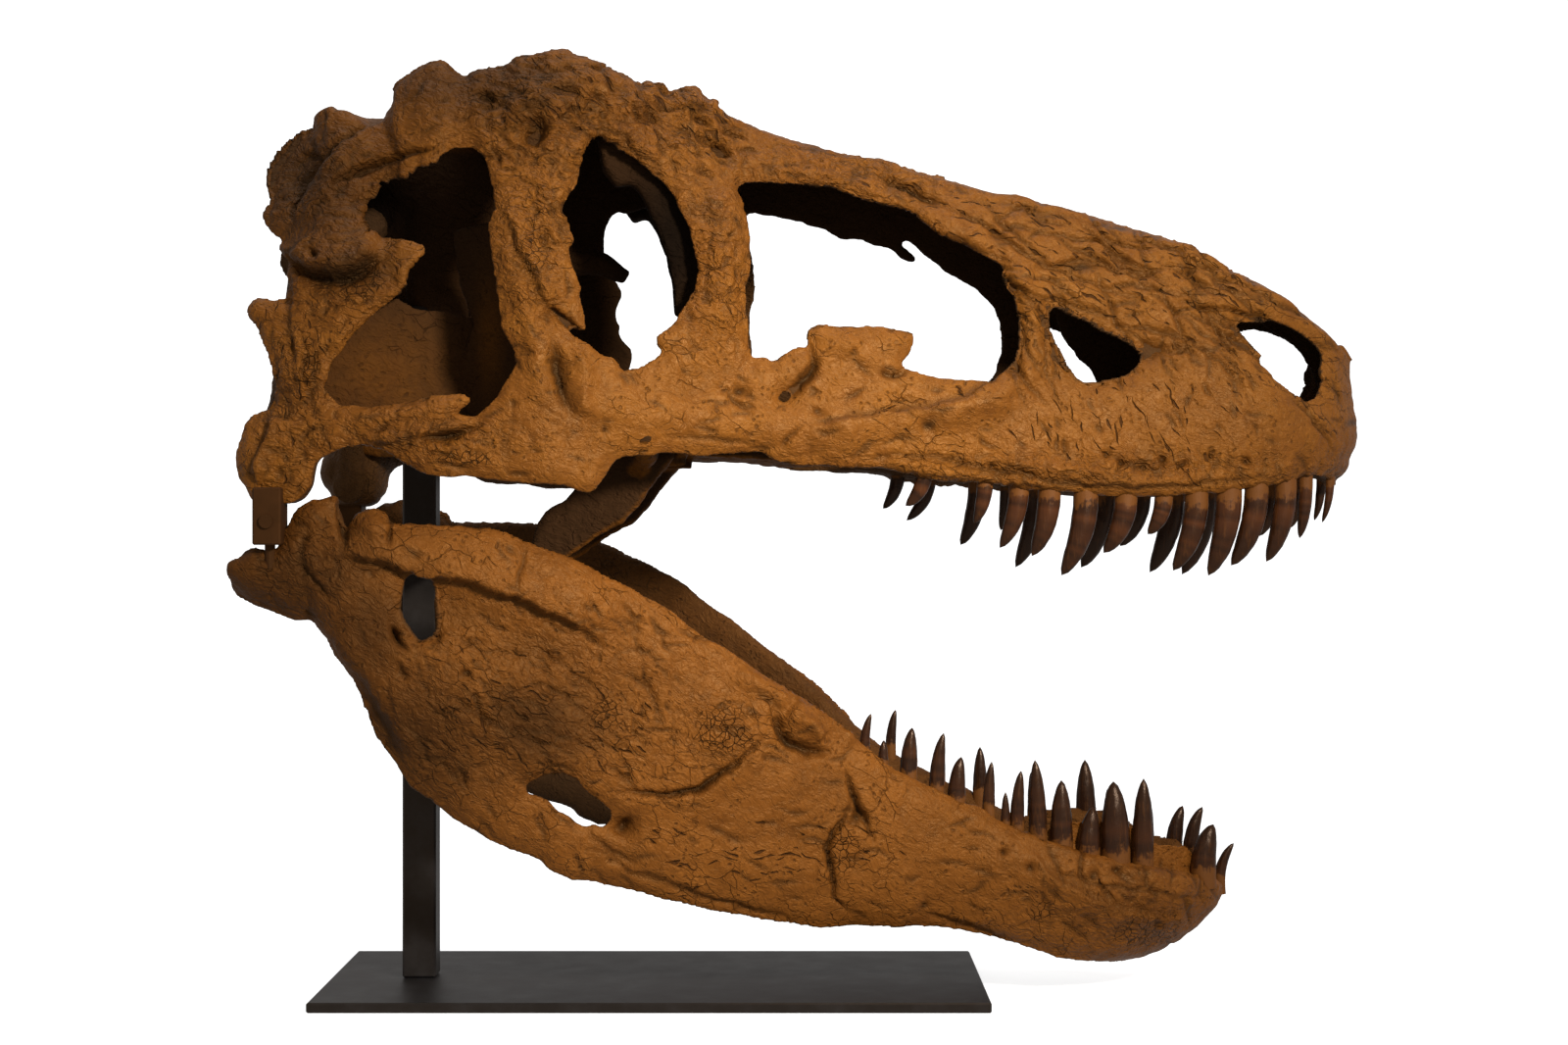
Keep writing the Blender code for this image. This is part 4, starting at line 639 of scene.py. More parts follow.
# Studio
BACKDROP_Y = 3.2
BACKDROP_BEND = 1.4
BACKDROP_HEIGHT = 5.0
BACKDROP_REACH = 6.0
BACKDROP_STEPS = 24
PAPER_GLOW = 0.80
PAPER_LIGHT_PLACE = (0.13, 0.2, 3.6)
PAPER_LIGHT_TARGET = (0.13, BACKDROP_Y, 1.0)
PAPER_LIGHT_SIZE = 2.0
PAPER_POWER = 46.0
WORLD_LIGHT = 0.42
KEY_PLACE = (1.15, -1.90, 1.30)
KEY_TARGET = (0.12, -0.15, 0.52)
KEY_SIZE = 0.35
KEY_SPREAD = 0.85
KEY_POWER = 5.9
KEY_COLOUR = (1.0, 0.95, 0.86)
TOP_PLACE = (0.3, -0.9, 2.9)
TOP_SIZE = 0.6
TOP_POWER = 2.0
CAMERA_LENS = 58.5


# Sheet and surfaces

def smooth(low, high, value):
    """Rises from 0 to 1 between low and high."""
    t = np.clip((value - low) / (high - low), 0.0, 1.0)
    return t * t * (3.0 - 2.0 * t)


def along(line, at):
    """Second coordinate of a line of points at a first coordinate."""
    xs, ys = zip(*line)
    return np.interp(at, xs, ys)


def place(u, v, y):
    """World point that shows at (u, v) on the sheet and lies at depth y."""
    k = (VIEW_DISTANCE + y) / VIEW_DISTANCE * SHEET_MM
    return VIEW_X + (u - SHEET_MIDDLE) * k, y + 0.0 * u, EYE_HEIGHT + (SHEET_EYE - v) * k


def sheet_of(points):
    """Sheet coordinates of world points, with the left side mirrored onto the right one."""
    k = (VIEW_DISTANCE - np.abs(points[:, 1])) / VIEW_DISTANCE * SHEET_MM
    u = SHEET_MIDDLE + (points[:, 0] - VIEW_X) / k
    v = SHEET_EYE - (points[:, 2] - EYE_HEIGHT) / k
    return np.stack([u, v], axis=-1)


def turned(a, v, start, arc, front):
    """Sheet position and narrowing where a wall turns in to the plane of symmetry."""
    angle = np.clip((a - start) / arc, 0.0, 1.0) * math.pi / 2
    u = np.where(a > start, start + (along(front, v) - start) * np.sin(angle), a)
    return u, np.cos(angle)


def unturned(u, v, start, arc, front):
    """Unrolled position that the turn takes to u."""
    share = np.clip((u - start) / (along(front, v) - start), 0.0, 1.0)
    return np.where(u > start, start + arc * np.arcsin(share) / (math.pi / 2), u)


def unrolled(points, start, arc, front):
    """Sheet points with those past the turn moved to where the turn takes them from."""
    return [(float(unturned(np.float64(u), v, start, arc, front)), v) for u, v in points]


def roof_span(u, narrowing):
    """Sheet height of the strip that becomes half of the skull roof."""
    return np.interp(u, WIDTH_AT, UPPER_HALF_WIDTH) * narrowing + ROOF_EXTRA


def cranium_surface(a, v):
    """Outer surface of the right half of the skull, as a function of the sheet."""
    u, narrowing = turned(a, v, SNOUT_TURN, SNOUT_ARC, SNOUT_FRONT)
    top = along(TOP_LINE, u)
    height = np.clip((v - top) / (along(CHEEK_FOOT, u) - top), 0.0, 1.0)
    upper = np.interp(u, WIDTH_AT, UPPER_HALF_WIDTH) * SHEET_MM
    lower = np.interp(u, WIDTH_AT, LOWER_HALF_WIDTH) * SHEET_MM
    y = -(upper + (lower - upper) * np.sin(math.pi / 2 * height ** 0.8)) * narrowing
    x, y, z = place(u, np.maximum(v, top), y)
    share = np.clip((top - v) / roof_span(u, narrowing), 0.0, 1.1)
    ridge_u = SHEET_MIDDLE + (x - VIEW_X) / SHEET_MM
    ridge = EYE_HEIGHT + (SHEET_EYE - along(MID_LINE, ridge_u)) * SHEET_MM
    z = np.where(v < top, z + (ridge - z) * (1.0 - (1.0 - share) ** 2), z)
    y = np.where(v < top, y * (1.0 - share), y)
    return np.stack([x, y, z], axis=-1)


def jaw_surface(a, v):
    """Outer surface of the right lower jaw, as a function of the sheet."""
    u, narrowing = turned(a, v, JAW_TURN, JAW_ARC, CHIN_FRONT)
    top = along(JAW_TOP, u)
    height = np.clip((v - top) / (along(JAW_FOOT, u) - top), 0.0, 1.0)
    bulge = JAW_BULGE * np.sin(math.pi * height) - JAW_LEAN * height
    y = -(np.interp(u, JAW_WIDTH_AT, JAW_HALF_WIDTH) + bulge - JAW_INSET) * SHEET_MM * narrowing
    return np.stack(place(u, v, y), axis=-1)


# Strokes on the sheet

def edge_distance(points, loops):
    """Distance from each sheet point to the nearest stretch of the given open lines."""
    nearest = np.full(len(points), 1e9)
    for loop in loops:
        for (ax, ay), (bx, by) in zip(loop[:-1], loop[1:]):
            dx, dy = bx - ax, by - ay
            length = dx * dx + dy * dy
            if length == 0:
                continue
            t = np.clip(((points[:, 0] - ax) * dx + (points[:, 1] - ay) * dy) / length, 0, 1)
            gap = np.hypot(points[:, 0] - ax - t * dx, points[:, 1] - ay - t * dy)
            nearest = np.minimum(nearest, gap)
    return nearest


class Marks:
    """Height in millimetres and painted shade from 0 to 1 that strokes leave on sheet points."""

    def __init__(self, sheet):
        drawn = np.column_stack([sheet, np.zeros(len(sheet))])
        (coarse, coarse_size), (fine, fine_size) = COARSE_WOBBLE, FINE_WOBBLE
        wobble = [coarse * lattice_noise(drawn / coarse_size, seed)
                  + fine * lattice_noise(drawn / fine_size, seed) for seed in (3, 5)]
        self.points = sheet + np.column_stack(wobble)
        self.order = np.argsort(self.points[:, 0])
        self.across = self.points[self.order, 0]
        self.height = np.zeros(len(sheet))
        self.dark = np.zeros(len(sheet))

    def near(self, low, high):
        """Numbers of the points inside a box on the sheet."""
        first, last = np.searchsorted(self.across, (low[0], high[0]))
        index = self.order[first:last]
        down = self.points[index, 1]
        return index[(down > low[1]) & (down < high[1])]

    def beside(self, line, reach):
        """Points near a line, their distance, side (1 above a line to the right) and share."""
        line = np.asarray(line, float)
        index = self.near(line.min(axis=0) - reach, line.max(axis=0) + reach)
        points = self.points[index]
        gap = np.full(len(index), 1e9)
        side = np.zeros(len(index))
        share = np.zeros(len(index))
        walked = 0.0
        for start, end in zip(line[:-1], line[1:]):
            step = end - start
            length = math.hypot(*step)
            part = np.clip((points - start) @ step / length ** 2, 0.0, 1.0)
            offset = points - start - part[:, None] * step
            distance = np.hypot(offset[:, 0], offset[:, 1])
            closer = distance < gap
            turn = step[1] * offset[:, 0] - step[0] * offset[:, 1]
            gap = np.where(closer, distance, gap)
            side = np.where(closer, np.sign(turn), side)
            share = np.where(closer, walked + part * length, share)
            walked += length
        return index, gap, side, share / walked

    def groove(self, line, width, depth, dark):
        """A slit that narrows and runs out at both ends, with painted shade in it."""
        index, gap, _, share = self.beside(line, 3.0 * width)
        ends = np.sqrt(np.sin(math.pi * np.clip(share, 0.03, 0.97)))
        mark = np.exp(-(gap / (width * (0.4 + 0.6 * ends))) ** 2) * ends
        self.height[index] -= depth * mark
        self.dark[index] = np.maximum(self.dark[index], dark * mark)

    def ridge(self, line, width, rise):
        index, gap, _, share = self.beside(line, 3.0 * width)
        ends = smooth(0.0, 0.12, share) * smooth(0.0, 0.12, 1.0 - share)
        self.height[index] += rise * np.exp(-(gap / width) ** 2) * ends

    def ledge(self, line, reach, rise):
        """An overlapping edge: a sharp lip with a slope behind it and a painted shadow under it."""
        index, gap, side, share = self.beside(line, 2.5 * reach)
        ends = smooth(0.0, 0.22, share) * smooth(0.0, 0.22, 1.0 - share)
        signed = gap * side
        slope = np.exp(-(np.maximum(signed, 0.0) / reach) ** 2)
        lip = smooth(-LEDGE_LIP, 0.4 * LEDGE_LIP, signed)
        self.height[index] += rise * slope * lip * ends
        shadow = np.exp(-((signed + LEDGE_LIP) / (1.6 * LEDGE_LIP)) ** 2) * ends
        self.dark[index] = np.maximum(self.dark[index], min(0.45, 0.06 * rise) * shadow)

    def spot(self, centre, radii, rise, dark=0.0):
        """A round rise or pit; dark is the painted shade in it."""
        centre, radii = np.asarray(centre, float), np.asarray(radii, float)
        index = self.near(centre - 2.5 * radii, centre + 2.5 * radii)
        offset = (self.points[index] - centre) / radii
        mark = np.exp(-(offset ** 2).sum(axis=1))
        self.height[index] += rise * mark
        self.dark[index] = np.maximum(self.dark[index], dark * mark ** 1.5)

    def furrows(self, grain, area, count, lengths, widths, depth, seed):
        """Slits scattered over an area, along the grain, with painted shade in them."""
        rng = np.random.default_rng(seed)
        middles = rng.uniform(area[0], area[1], (count, 2))
        angles = grain_angle(grain, middles) + rng.normal(0.0, 0.32, count)
        for middle, angle in zip(middles, angles):
            ahead = np.array([math.cos(angle), math.sin(angle)])
            aside = np.array([-ahead[1], ahead[0]])
            length = rng.uniform(*lengths)
            line = [middle - 0.5 * length * ahead, middle + rng.normal(0.0, 0.1) * length * aside,
                    middle + 0.5 * length * ahead]
            self.groove(line, rng.uniform(*widths), depth * rng.uniform(0.3, 1.0), 0.65)


def grain_angle(grain, points):
    """Direction of the grain at sheet points, from the nearest places where it is given."""
    across = np.zeros(len(points))
    down = np.zeros(len(points))
    for (u, v), degrees in grain:
        squared = (points[:, 0] - u) ** 2 + (points[:, 1] - v) ** 2
        weight = 1.0 / (squared + GRAIN_BLUR ** 2) ** 2
        across += weight * math.cos(2.0 * math.radians(degrees))
        down += weight * math.sin(2.0 * math.radians(degrees))
    return 0.5 * np.arctan2(down, across)


def grain_ways(grain, sheet, normals):
    """Unit vectors along the surface, ahead with the grain and aside from it."""
    angle = grain_angle(grain, sheet)
    ahead = np.column_stack([np.cos(angle), np.zeros(len(sheet)), -np.sin(angle)])
    aside = np.cross(normals, ahead)
    aside /= np.linalg.norm(aside, axis=1)[:, None] + 1e-9
    ahead = np.cross(aside, normals)
    return ahead, aside


def inside(points, outline):
    """True for the points inside a closed outline."""
    within = np.zeros(len(points), bool)
    low, high = np.min(outline, axis=0), np.max(outline, axis=0)
    near = np.flatnonzero(np.all((points > low) & (points < high), axis=1))
    u, v = points[near].T
    odd = np.zeros(len(near), bool)
    for (au, av), (bu, bv) in zip(outline, outline[1:] + outline[:1]):
        if av != bv:
            crosses = (av > v) != (bv > v)
            odd ^= crosses & (u < au + (v - av) / (bv - av) * (bu - au))
    within[near] = odd
    return within


def spots_mask(points, spots):
    """1 within soft spots, 0 away from them."""
    mask = np.zeros(len(points))
    for centre, radii in spots:
        offset = (points - np.asarray(centre, float)) / np.asarray(radii, float)
        mask = np.maximum(mask, np.exp(-(offset ** 2).sum(axis=1)))
    return mask


# Noise

def lattice_noise(points, seed):
    """Smooth noise from -1 to 1 on cells one unit wide."""
    cell = np.floor(points).astype(np.int64)
    part = points - cell
    ease = part * part * (3.0 - 2.0 * part)
    total = np.zeros(len(points))
    for corner in range(8):
        step = np.array([corner & 1, corner >> 1 & 1, corner >> 2 & 1])
        key = (cell + step) @ np.array([374761393, 668265263, 1274126177]) + seed * 974634777
        key = (key ^ (key >> 13)) * 1103515245
        key = key ^ (key >> 16)
        value = (key & 0xFFFF) / 32767.5 - 1.0
        total += value * np.where(step, ease, 1.0 - ease).prod(axis=1)
    return total


def rough_noise(points, size, octaves, seed):
    """Sum of ever finer noise; size is that of the coarsest, in metres."""
    total = np.zeros(len(points))
    for octave in range(octaves):
        total += lattice_noise(points / size * 2 ** octave, seed + octave) / 2 ** octave
    return total


def wrinkle_noise(points, size, octaves, seed):
    """Sharp creases between rounded folds, from about -1 in a crease to 1 on a fold."""
    total = np.zeros(len(points))
    for octave in range(octaves):
        fold = np.abs(lattice_noise(points / size * 2 ** octave, seed + octave))
        total += (2.0 * np.minimum(1.0, 2.2 * fold) - 1.0) / 2 ** octave
    return total


# Mesh tools

PIECES = bpy.data.collections.new("daspletosaurus_skull_looks")
bpy.context.scene.collection.children.link(PIECES)


@contextmanager
def editing(mesh, start_from=None):
    """The mesh, or another one to start from, open for changes that the mesh then gets."""
    bm = bmesh.new()
    bm.from_mesh(start_from or mesh)
    yield bm
    bm.to_mesh(mesh)
    bm.free()


def closed(loop):
    return loop + loop[:1]


def new_object(name, mesh):
    obj = bpy.data.objects.new(name, mesh)
    PIECES.objects.link(obj)
    return obj


def evaluated_mesh(obj):
    """The mesh that an object's modifiers or curve settings give."""
    evaluated = obj.evaluated_get(bpy.context.evaluated_depsgraph_get())
    return bpy.data.meshes.new_from_object(evaluated)


def apply_modifiers(obj):
    mesh = evaluated_mesh(obj)
    obj.modifiers.clear()
    old = obj.data
    obj.data = mesh
    bpy.data.meshes.remove(old)
    return obj


def mesh_from_curve(curve_object):
    """A mesh object of a curve object, its caps welded."""
    mesh = evaluated_mesh(curve_object)
    with editing(mesh) as bm:
        bmesh.ops.remove_doubles(bm, verts=bm.verts, dist=1e-6)
        bmesh.ops.recalc_face_normals(bm, faces=bm.faces)
    name = curve_object.name
    bpy.data.objects.remove(curve_object)
    return new_object(name, mesh)


def slab(name, loops):
    """A flat plate cut to the loops, the first outside and the rest holes in it."""
    curve = bpy.data.curves.new(name, "CURVE")
    curve.dimensions = "2D"
    curve.fill_mode = "BOTH"
    curve.extrude = SLAB_THICKNESS / 2
    for loop in loops:
        spline = curve.splines.new("POLY")
        spline.points.add(len(loop) - 1)
        for point, (u, v) in zip(spline.points, loop):
            point.co = (u * SHEET_MM, v * SHEET_MM, 0.0, 1.0)
        spline.use_cyclic_u = True
    obj = mesh_from_curve(new_object(name, curve))
    remesh = obj.modifiers.new("remesh", "REMESH")
    remesh.mode = "VOXEL"
    remesh.voxel_size = SLAB_VOXEL
    return apply_modifiers(obj)


def coordinates(mesh):
    flat = np.empty(len(mesh.vertices) * 3)
    mesh.vertices.foreach_get("co", flat)
    return flat.reshape(-1, 3)


def wrapped_sheet(name, loops, rims, surface, outer, inner, rounding=PLATE_ROUNDING):
    """A plate wrapped onto a surface.

    outer and inner give its thickness in millimetres on either side of the surface, and
    its edges round off along the rims.
    """
    reach, drop, rim_thickness = rounding
    obj = slab(name, loops)
    mesh = obj.data
    flat = coordinates(mesh)
    points = flat[:, :2] / SHEET_MM
    side = np.clip(flat[:, 2] / (SLAB_THICKNESS / 2), -1.0, 1.0)
    right = surface(points[:, 0] + SLOPE_STEP, points[:, 1])
    left = surface(points[:, 0] - SLOPE_STEP, points[:, 1])
    below = surface(points[:, 0], points[:, 1] + SLOPE_STEP)
    above = surface(points[:, 0], points[:, 1] - SLOPE_STEP)
    normal = np.cross(right - left, below - above)
    normal /= np.linalg.norm(normal, axis=1)[:, None] + 1e-12
    normal *= -np.sign(normal[:, 1] + 1e-9)[:, None]
    roundness = np.sqrt(1.0 - (1.0 - np.clip(edge_distance(points, rims) / reach, 0.0, 1.0)) ** 2)
    outwards = outer(points) - drop * (1.0 - roundness)
    inwards = np.maximum(inner(points) * (0.35 + 0.65 * roundness), rim_thickness - outwards)
    thickness = np.where(side > 0, outwards, inwards) * SHEET_MM
    result = surface(points[:, 0], points[:, 1]) + normal * (side * thickness)[:, None]
    mesh.vertices.foreach_set("co", result.ravel())
    mesh.update()
    point_outwards(mesh)
    return obj


def even(thickness):
    """The same thickness all over a sheet, in millimetres."""
    return lambda points: np.full(len(points), thickness)


def point_outwards(mesh):
    with editing(mesh) as bm:
        if bm.calc_volume(signed=True) < 0:
            bmesh.ops.reverse_faces(bm, faces=bm.faces)


def tube(name, points, radii, sides=3):
    """A solid bar along world points, its thickness changing from point to point."""
    curve = bpy.data.curves.new(name, "CURVE")
    curve.dimensions = "3D"
    curve.bevel_depth = 1.0
    curve.bevel_resolution = sides
    curve.use_fill_caps = True
    spline = curve.splines.new("POLY")
    spline.points.add(len(points) - 1)
    for point, place_at, radius in zip(spline.points, points, radii):
        point.co = (*place_at, 1.0)
        point.radius = radius
    obj = mesh_from_curve(new_object(name, curve))
    point_outwards(obj.data)
    return obj


def ellipsoid(name, centre, radii):
    mesh = bpy.data.meshes.new(name)
    around, up = BALL_SIDES
    with editing(mesh) as bm:
        bmesh.ops.create_uvsphere(bm, u_segments=around, v_segments=up, radius=1.0)
        bm.transform(Matrix.Translation(centre) @ Matrix.Diagonal((*radii, 1.0)))
    return new_object(name, mesh)


def joined(name, objects, mirrored=()):
    """One object of all the given ones, and of the mirror images of some of them."""
    mesh = bpy.data.meshes.new(name)
    with editing(mesh) as bm:
        for obj in [*objects, *mirrored]:
            bm.from_mesh(obj.data)
        for obj in mirrored:
            image = obj.data.copy()
            with editing(image) as turned_round:
                turned_round.transform(Matrix.Diagonal((1.0, -1.0, 1.0, 1.0)))
                bmesh.ops.reverse_faces(turned_round, faces=turned_round.faces)
            bm.from_mesh(image)
            bpy.data.meshes.remove(image)
    for obj in [*objects, *mirrored]:
        bpy.data.objects.remove(obj)
    return new_object(name, mesh)


def grown_together(obj, voxel, smoothing):
    """Fuses overlapping forms to one body with rounded joins."""
    remesh = obj.modifiers.new("remesh", "REMESH")
    remesh.mode = "VOXEL"
    remesh.voxel_size = voxel
    soften = obj.modifiers.new("soften", "SMOOTH")
    soften.factor = 0.5
    soften.iterations = smoothing
    return apply_modifiers(obj)


def carve(obj, relief):
    """Moves each vertex along its normal and keeps what the finish needs to know there.

    relief takes the points and their normals. It gives heights in millimetres and, by name,
    values from 0 to 1 and unit vectors.
    """
    mesh = obj.data
    points = coordinates(mesh)
    normals = np.empty(len(points) * 3)
    mesh.vertex_normals.foreach_get("vector", normals)
    normals = normals.reshape(-1, 3)
    height, kept = relief(points, normals)
    mesh.vertices.foreach_set("co", (points + normals * (height * SHEET_MM)[:, None]).ravel())
    for name, values in kept.items():
        kind, channel = ("FLOAT_VECTOR", "vector") if values.ndim == 2 else ("FLOAT", "value")
        if channel == "value":
            values = np.clip(values, 0.0, 1.0)
        attribute = mesh.attributes.new(name, kind, "POINT")
        attribute.data.foreach_set(channel, values.ravel().astype(np.float32))
    mesh.update()
    return obj


def half_of(obj, name, point, normal):
    """A closed copy of what lies behind a plane, with a flat face on the plane."""
    mesh = bpy.data.meshes.new(name)
    with editing(mesh, obj.data) as bm:
        geometry = bm.verts[:] + bm.edges[:] + bm.faces[:]
        bmesh.ops.bisect_plane(bm, geom=geometry, plane_co=point, plane_no=normal,
                               clear_outer=True)
        rim = [edge for edge in bm.edges if edge.is_boundary]
        for edge in rim:
            edge.smooth = False
        bmesh.ops.triangle_fill(bm, use_beauty=True, edges=rim, normal=normal)
        unfilled = [edge for edge in bm.edges if edge.is_boundary]
        if unfilled:
            bmesh.ops.holes_fill(bm, edges=unfilled)
            bmesh.ops.recalc_face_normals(bm, faces=bm.faces)
    return new_object(name, mesh)


def cut_across(obj, names, cuts):
    """Closed pieces of a form from back to front, cut at the given X."""
    pieces = []
    rest = obj
    for name, at in zip(names, cuts):
        pieces.append(half_of(rest, name, (at, 0.0, 0.0), (1.0, 0.0, 0.0)))
        front = half_of(rest, "rest", (at, 0.0, 0.0), (-1.0, 0.0, 0.0))
        bpy.data.objects.remove(rest)
        rest = front
    rest.name = names[-1]
    return pieces + [rest]


def finished(obj, material, slot_name, *nodes):
    """Gives a piece its finish and hides the CAD nodes that it stands for."""
    mesh = obj.data
    mesh.materials.clear()
    mesh.materials.append(material)
    mesh.polygons.foreach_set("use_smooth", [True] * len(mesh.polygons))
    mesh.update()
    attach(obj, "root")
    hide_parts(*nodes)
    return obj


# Node trees

class Wire:
    """A node socket that takes part in ordinary arithmetic."""

    def __init__(self, tree, socket):
        self.tree = tree
        self.socket = socket

    def maths(self, operation, *values):
        return self.tree.add("ShaderNodeMath", {"operation": operation},
                             {i: value for i, value in enumerate(values)})

    def __add__(self, other):
        return self.maths("ADD", self, other)

    def __radd__(self, other):
        return self.maths("ADD", other, self)

    def __sub__(self, other):
        return self.maths("SUBTRACT", self, other)

    def __rsub__(self, other):
        return self.maths("SUBTRACT", other, self)

    def __mul__(self, other):
        return self.maths("MULTIPLY", self, other)

    def __rmul__(self, other):
        return self.maths("MULTIPLY", other, self)

    def __truediv__(self, other):
        return self.maths("DIVIDE", self, other)

    def __rtruediv__(self, other):
        return self.maths("DIVIDE", other, self)

    def __pow__(self, other):
        return self.maths("POWER", self, other)

    def away_from(self, middle):
        return self.maths("ABSOLUTE", self - middle)

    def sibling(self, output):
        """Wire of another output of the same node."""
        return Wire(self.tree, self.socket.node.outputs[output])


class Tree:
    """A node tree, with one method that adds any node."""

    def __init__(self, node_tree):
        self.nodes = node_tree.nodes
        self.links = node_tree.links

    def add(self, kind, settings=None, inputs=None, output=0):
        """Adds a node, sets it up, feeds its inputs, and gives the wire of one output."""
        node = self.nodes.new(kind)
        for name, value in (settings or {}).items():
            if name == "stops":
                self.set_stops(node.color_ramp, value)
            else:
                setattr(node, name, value)
        for name, value in (inputs or {}).items():
            self.feed(node.inputs[name], value)
        return Wire(self, node.outputs[output])

    def feed(self, socket, value):
        if isinstance(value, Wire):
            self.links.new(value.socket, socket)
        else:
            socket.default_value = value

    def set_stops(self, ramp, stops):
        while len(ramp.elements) > 1:
            ramp.elements.remove(ramp.elements[-1])
        for number, (position, colour) in enumerate(stops):
            element = ramp.elements[0] if number == 0 else ramp.elements.new(position)
            element.position = position
            element.color = (*colour, 1.0)

    def step(self, value, low, high):
        """Rises smoothly from 0 to 1 as the value goes from low to high."""
        return self.add("ShaderNodeMapRange", {"interpolation_type": "SMOOTHSTEP"},
                        {"Value": value, "From Min": low, "From Max": high})

    def blend(self, share, first, second):
        """Mixes two colours."""
        colours = [value if isinstance(value, Wire) else (*value, 1.0) for value in (first, second)]
        return self.add("ShaderNodeMix", {"data_type": "RGBA", "blend_type": "MIX"},
                        {0: share, 6: colours[0], 7: colours[1]}, 2)

    def noise(self, place_in, scale, detail, roughness):
        return self.add("ShaderNodeTexNoise", {"noise_type": "FBM", "normalize": True},
                        {"Vector": place_in, "Scale": scale, "Detail": detail,
                         "Roughness": roughness})

    def attribute(self, name, output="Fac"):
        return self.add("ShaderNodeAttribute", {"attribute_name": name}, output=output)

    def vectors(self, operation, first, second, output="Vector"):
        return self.add("ShaderNodeVectorMath", {"operation": operation},
                        {0: first, 1: second}, output)

    def slits(self, place_in, scale, length, width):
        """Scattered slits along the grain: 1 in a slit, 0 beside it."""
        cell = self.add("ShaderNodeTexVoronoi", {"feature": "F1"},
                        {"Vector": place_in, "Scale": scale}, "Position")
        offset = self.vectors("SUBTRACT", place_in, cell)
        chance = self.add("ShaderNodeSeparateColor", {}, {0: cell.sibling("Color")})
        straight = self.vectors("DOT_PRODUCT", offset, self.attribute("grain_ahead", "Vector"),
                                "Value")
        sideways = self.vectors("DOT_PRODUCT", offset, self.attribute("grain_aside", "Vector"),
                                "Value")
        lean = (chance - 0.5) * 0.9
        ahead = straight + sideways * lean
        aside = sideways - straight * lean
        reach = length * (0.35 + 0.65 * chance.sibling(1))
        along = (ahead / reach) ** 2.0
        room = width * (0.35 + 0.65 * chance.sibling(2)) * (1.0 - along)
        return self.step(room - aside.away_from(0.0), 0.0, 0.6 * width)


def new_material(name):
    """An empty material, its tree and its surface shader."""
    material = bpy.data.materials.new(name)
    material.use_nodes = True
    tree = Tree(material.node_tree)
    shader = material.node_tree.nodes["Principled BSDF"]
    return material, tree, shader


def dress(tree, shader, colour, roughness, bump, gloss, sheen):
    """Feeds a surface shader; bump is the strength, depth in metres and height of its relief."""
    strength, depth, height = bump
    relief = tree.add("ShaderNodeBump", {}, {"Strength": strength, "Distance": depth,
                                             "Height": height})
    tree.feed(shader.inputs["Base Color"], colour)
    tree.feed(shader.inputs["Roughness"], roughness)
    tree.feed(shader.inputs["Normal"], relief)
    shader.inputs["Specular IOR Level"].default_value = gloss
    shader.inputs["Specular Tint"].default_value = (*sheen, 1.0)


def bone_patterns(tree, tilt, slit_threshold):
    """Lumps, folds, pores, cracks and slits of the bone, by name.

    tilt is the angle, seen from the side, at which the lumps are drawn out. The lower
    slit_threshold is, the more of the bone is slit.
    """
    place_in = tree.add("ShaderNodeTexCoord", output="Object")
    bent = tree.add("ShaderNodeVectorMath", {"operation": "MULTIPLY_ADD"}, {
        0: tree.add("ShaderNodeTexNoise", {}, {"Vector": place_in, "Scale": 45.0}, "Color"),
        1: (0.016, 0.016, 0.016), 2: place_in})
    drawn_out = tree.add("ShaderNodeMapping", {"vector_type": "TEXTURE"}, {
        "Vector": bent, "Rotation": (0.0, tilt, 0.0), "Scale": (2.1, 1.0, 1.0)})
    patches = tree.noise(place_in, 8.0, 5.0, 0.6)
    mottle = tree.noise(bent, 48.0, 6.0, 0.62)
    lumps = tree.noise(drawn_out, 85.0, 3.0, 0.5)
    grain = tree.noise(bent, 420.0, 4.0, 0.6)
    fold = tree.noise(drawn_out, 105.0, 3.0, 0.55).away_from(0.5)
    small_fold = tree.noise(drawn_out, 230.0, 3.0, 0.55).away_from(0.5)
    pores = tree.add("ShaderNodeTexVoronoi", {"feature": "F1"}, {"Vector": bent, "Scale": 150.0})
    plates = tree.add("ShaderNodeTexVoronoi", {"feature": "DISTANCE_TO_EDGE"},
                      {"Vector": bent, "Scale": 130.0})
    webs = tree.add("ShaderNodeTexVoronoi", {"feature": "DISTANCE_TO_EDGE"},
                    {"Vector": drawn_out, "Scale": 62.0})
    long_slits = tree.slits(bent, 24.0, 0.0210, 0.0022)
    slits = tree.slits(tree.vectors("ADD", bent, (3.1, 1.7, 0.4)), 46.0, 0.0105, 0.0017)
    slit = (long_slits + slits) * tree.step(
        patches + 0.6 * lumps + 0.35 * tree.attribute("slashed"), slit_threshold,
        slit_threshold + 0.14)
    crumpled = tree.attribute("crumpled")
    crease = (1.0 - tree.step(fold, 0.0, 0.05)) * (0.25 + 0.75 * crumpled)
    small_crease = (1.0 - tree.step(small_fold, 0.0, 0.06)) * tree.step(mottle, 0.45, 0.62)
    pore = (1.0 - tree.step(pores, 0.12, 0.42)) * tree.step(mottle, 0.50, 0.60)
    crack = (1.0 - tree.step(plates, 0.0, 0.07)) * tree.step(
        0.8 * tree.attribute("cracked") + lumps, 0.85, 1.2)
    web = (1.0 - tree.step(webs, 0.0, 0.03)) * tree.step(patches + 0.5 * lumps, 0.74, 0.88)
    return SimpleNamespace(
        patches=patches, mottle=mottle, lumps=lumps, grain=grain, fold=fold,
        small_fold=small_fold, slit=slit, crumpled=crumpled, crease=crease,
        small_crease=small_crease, pore=pore, crack=crack, web=web)


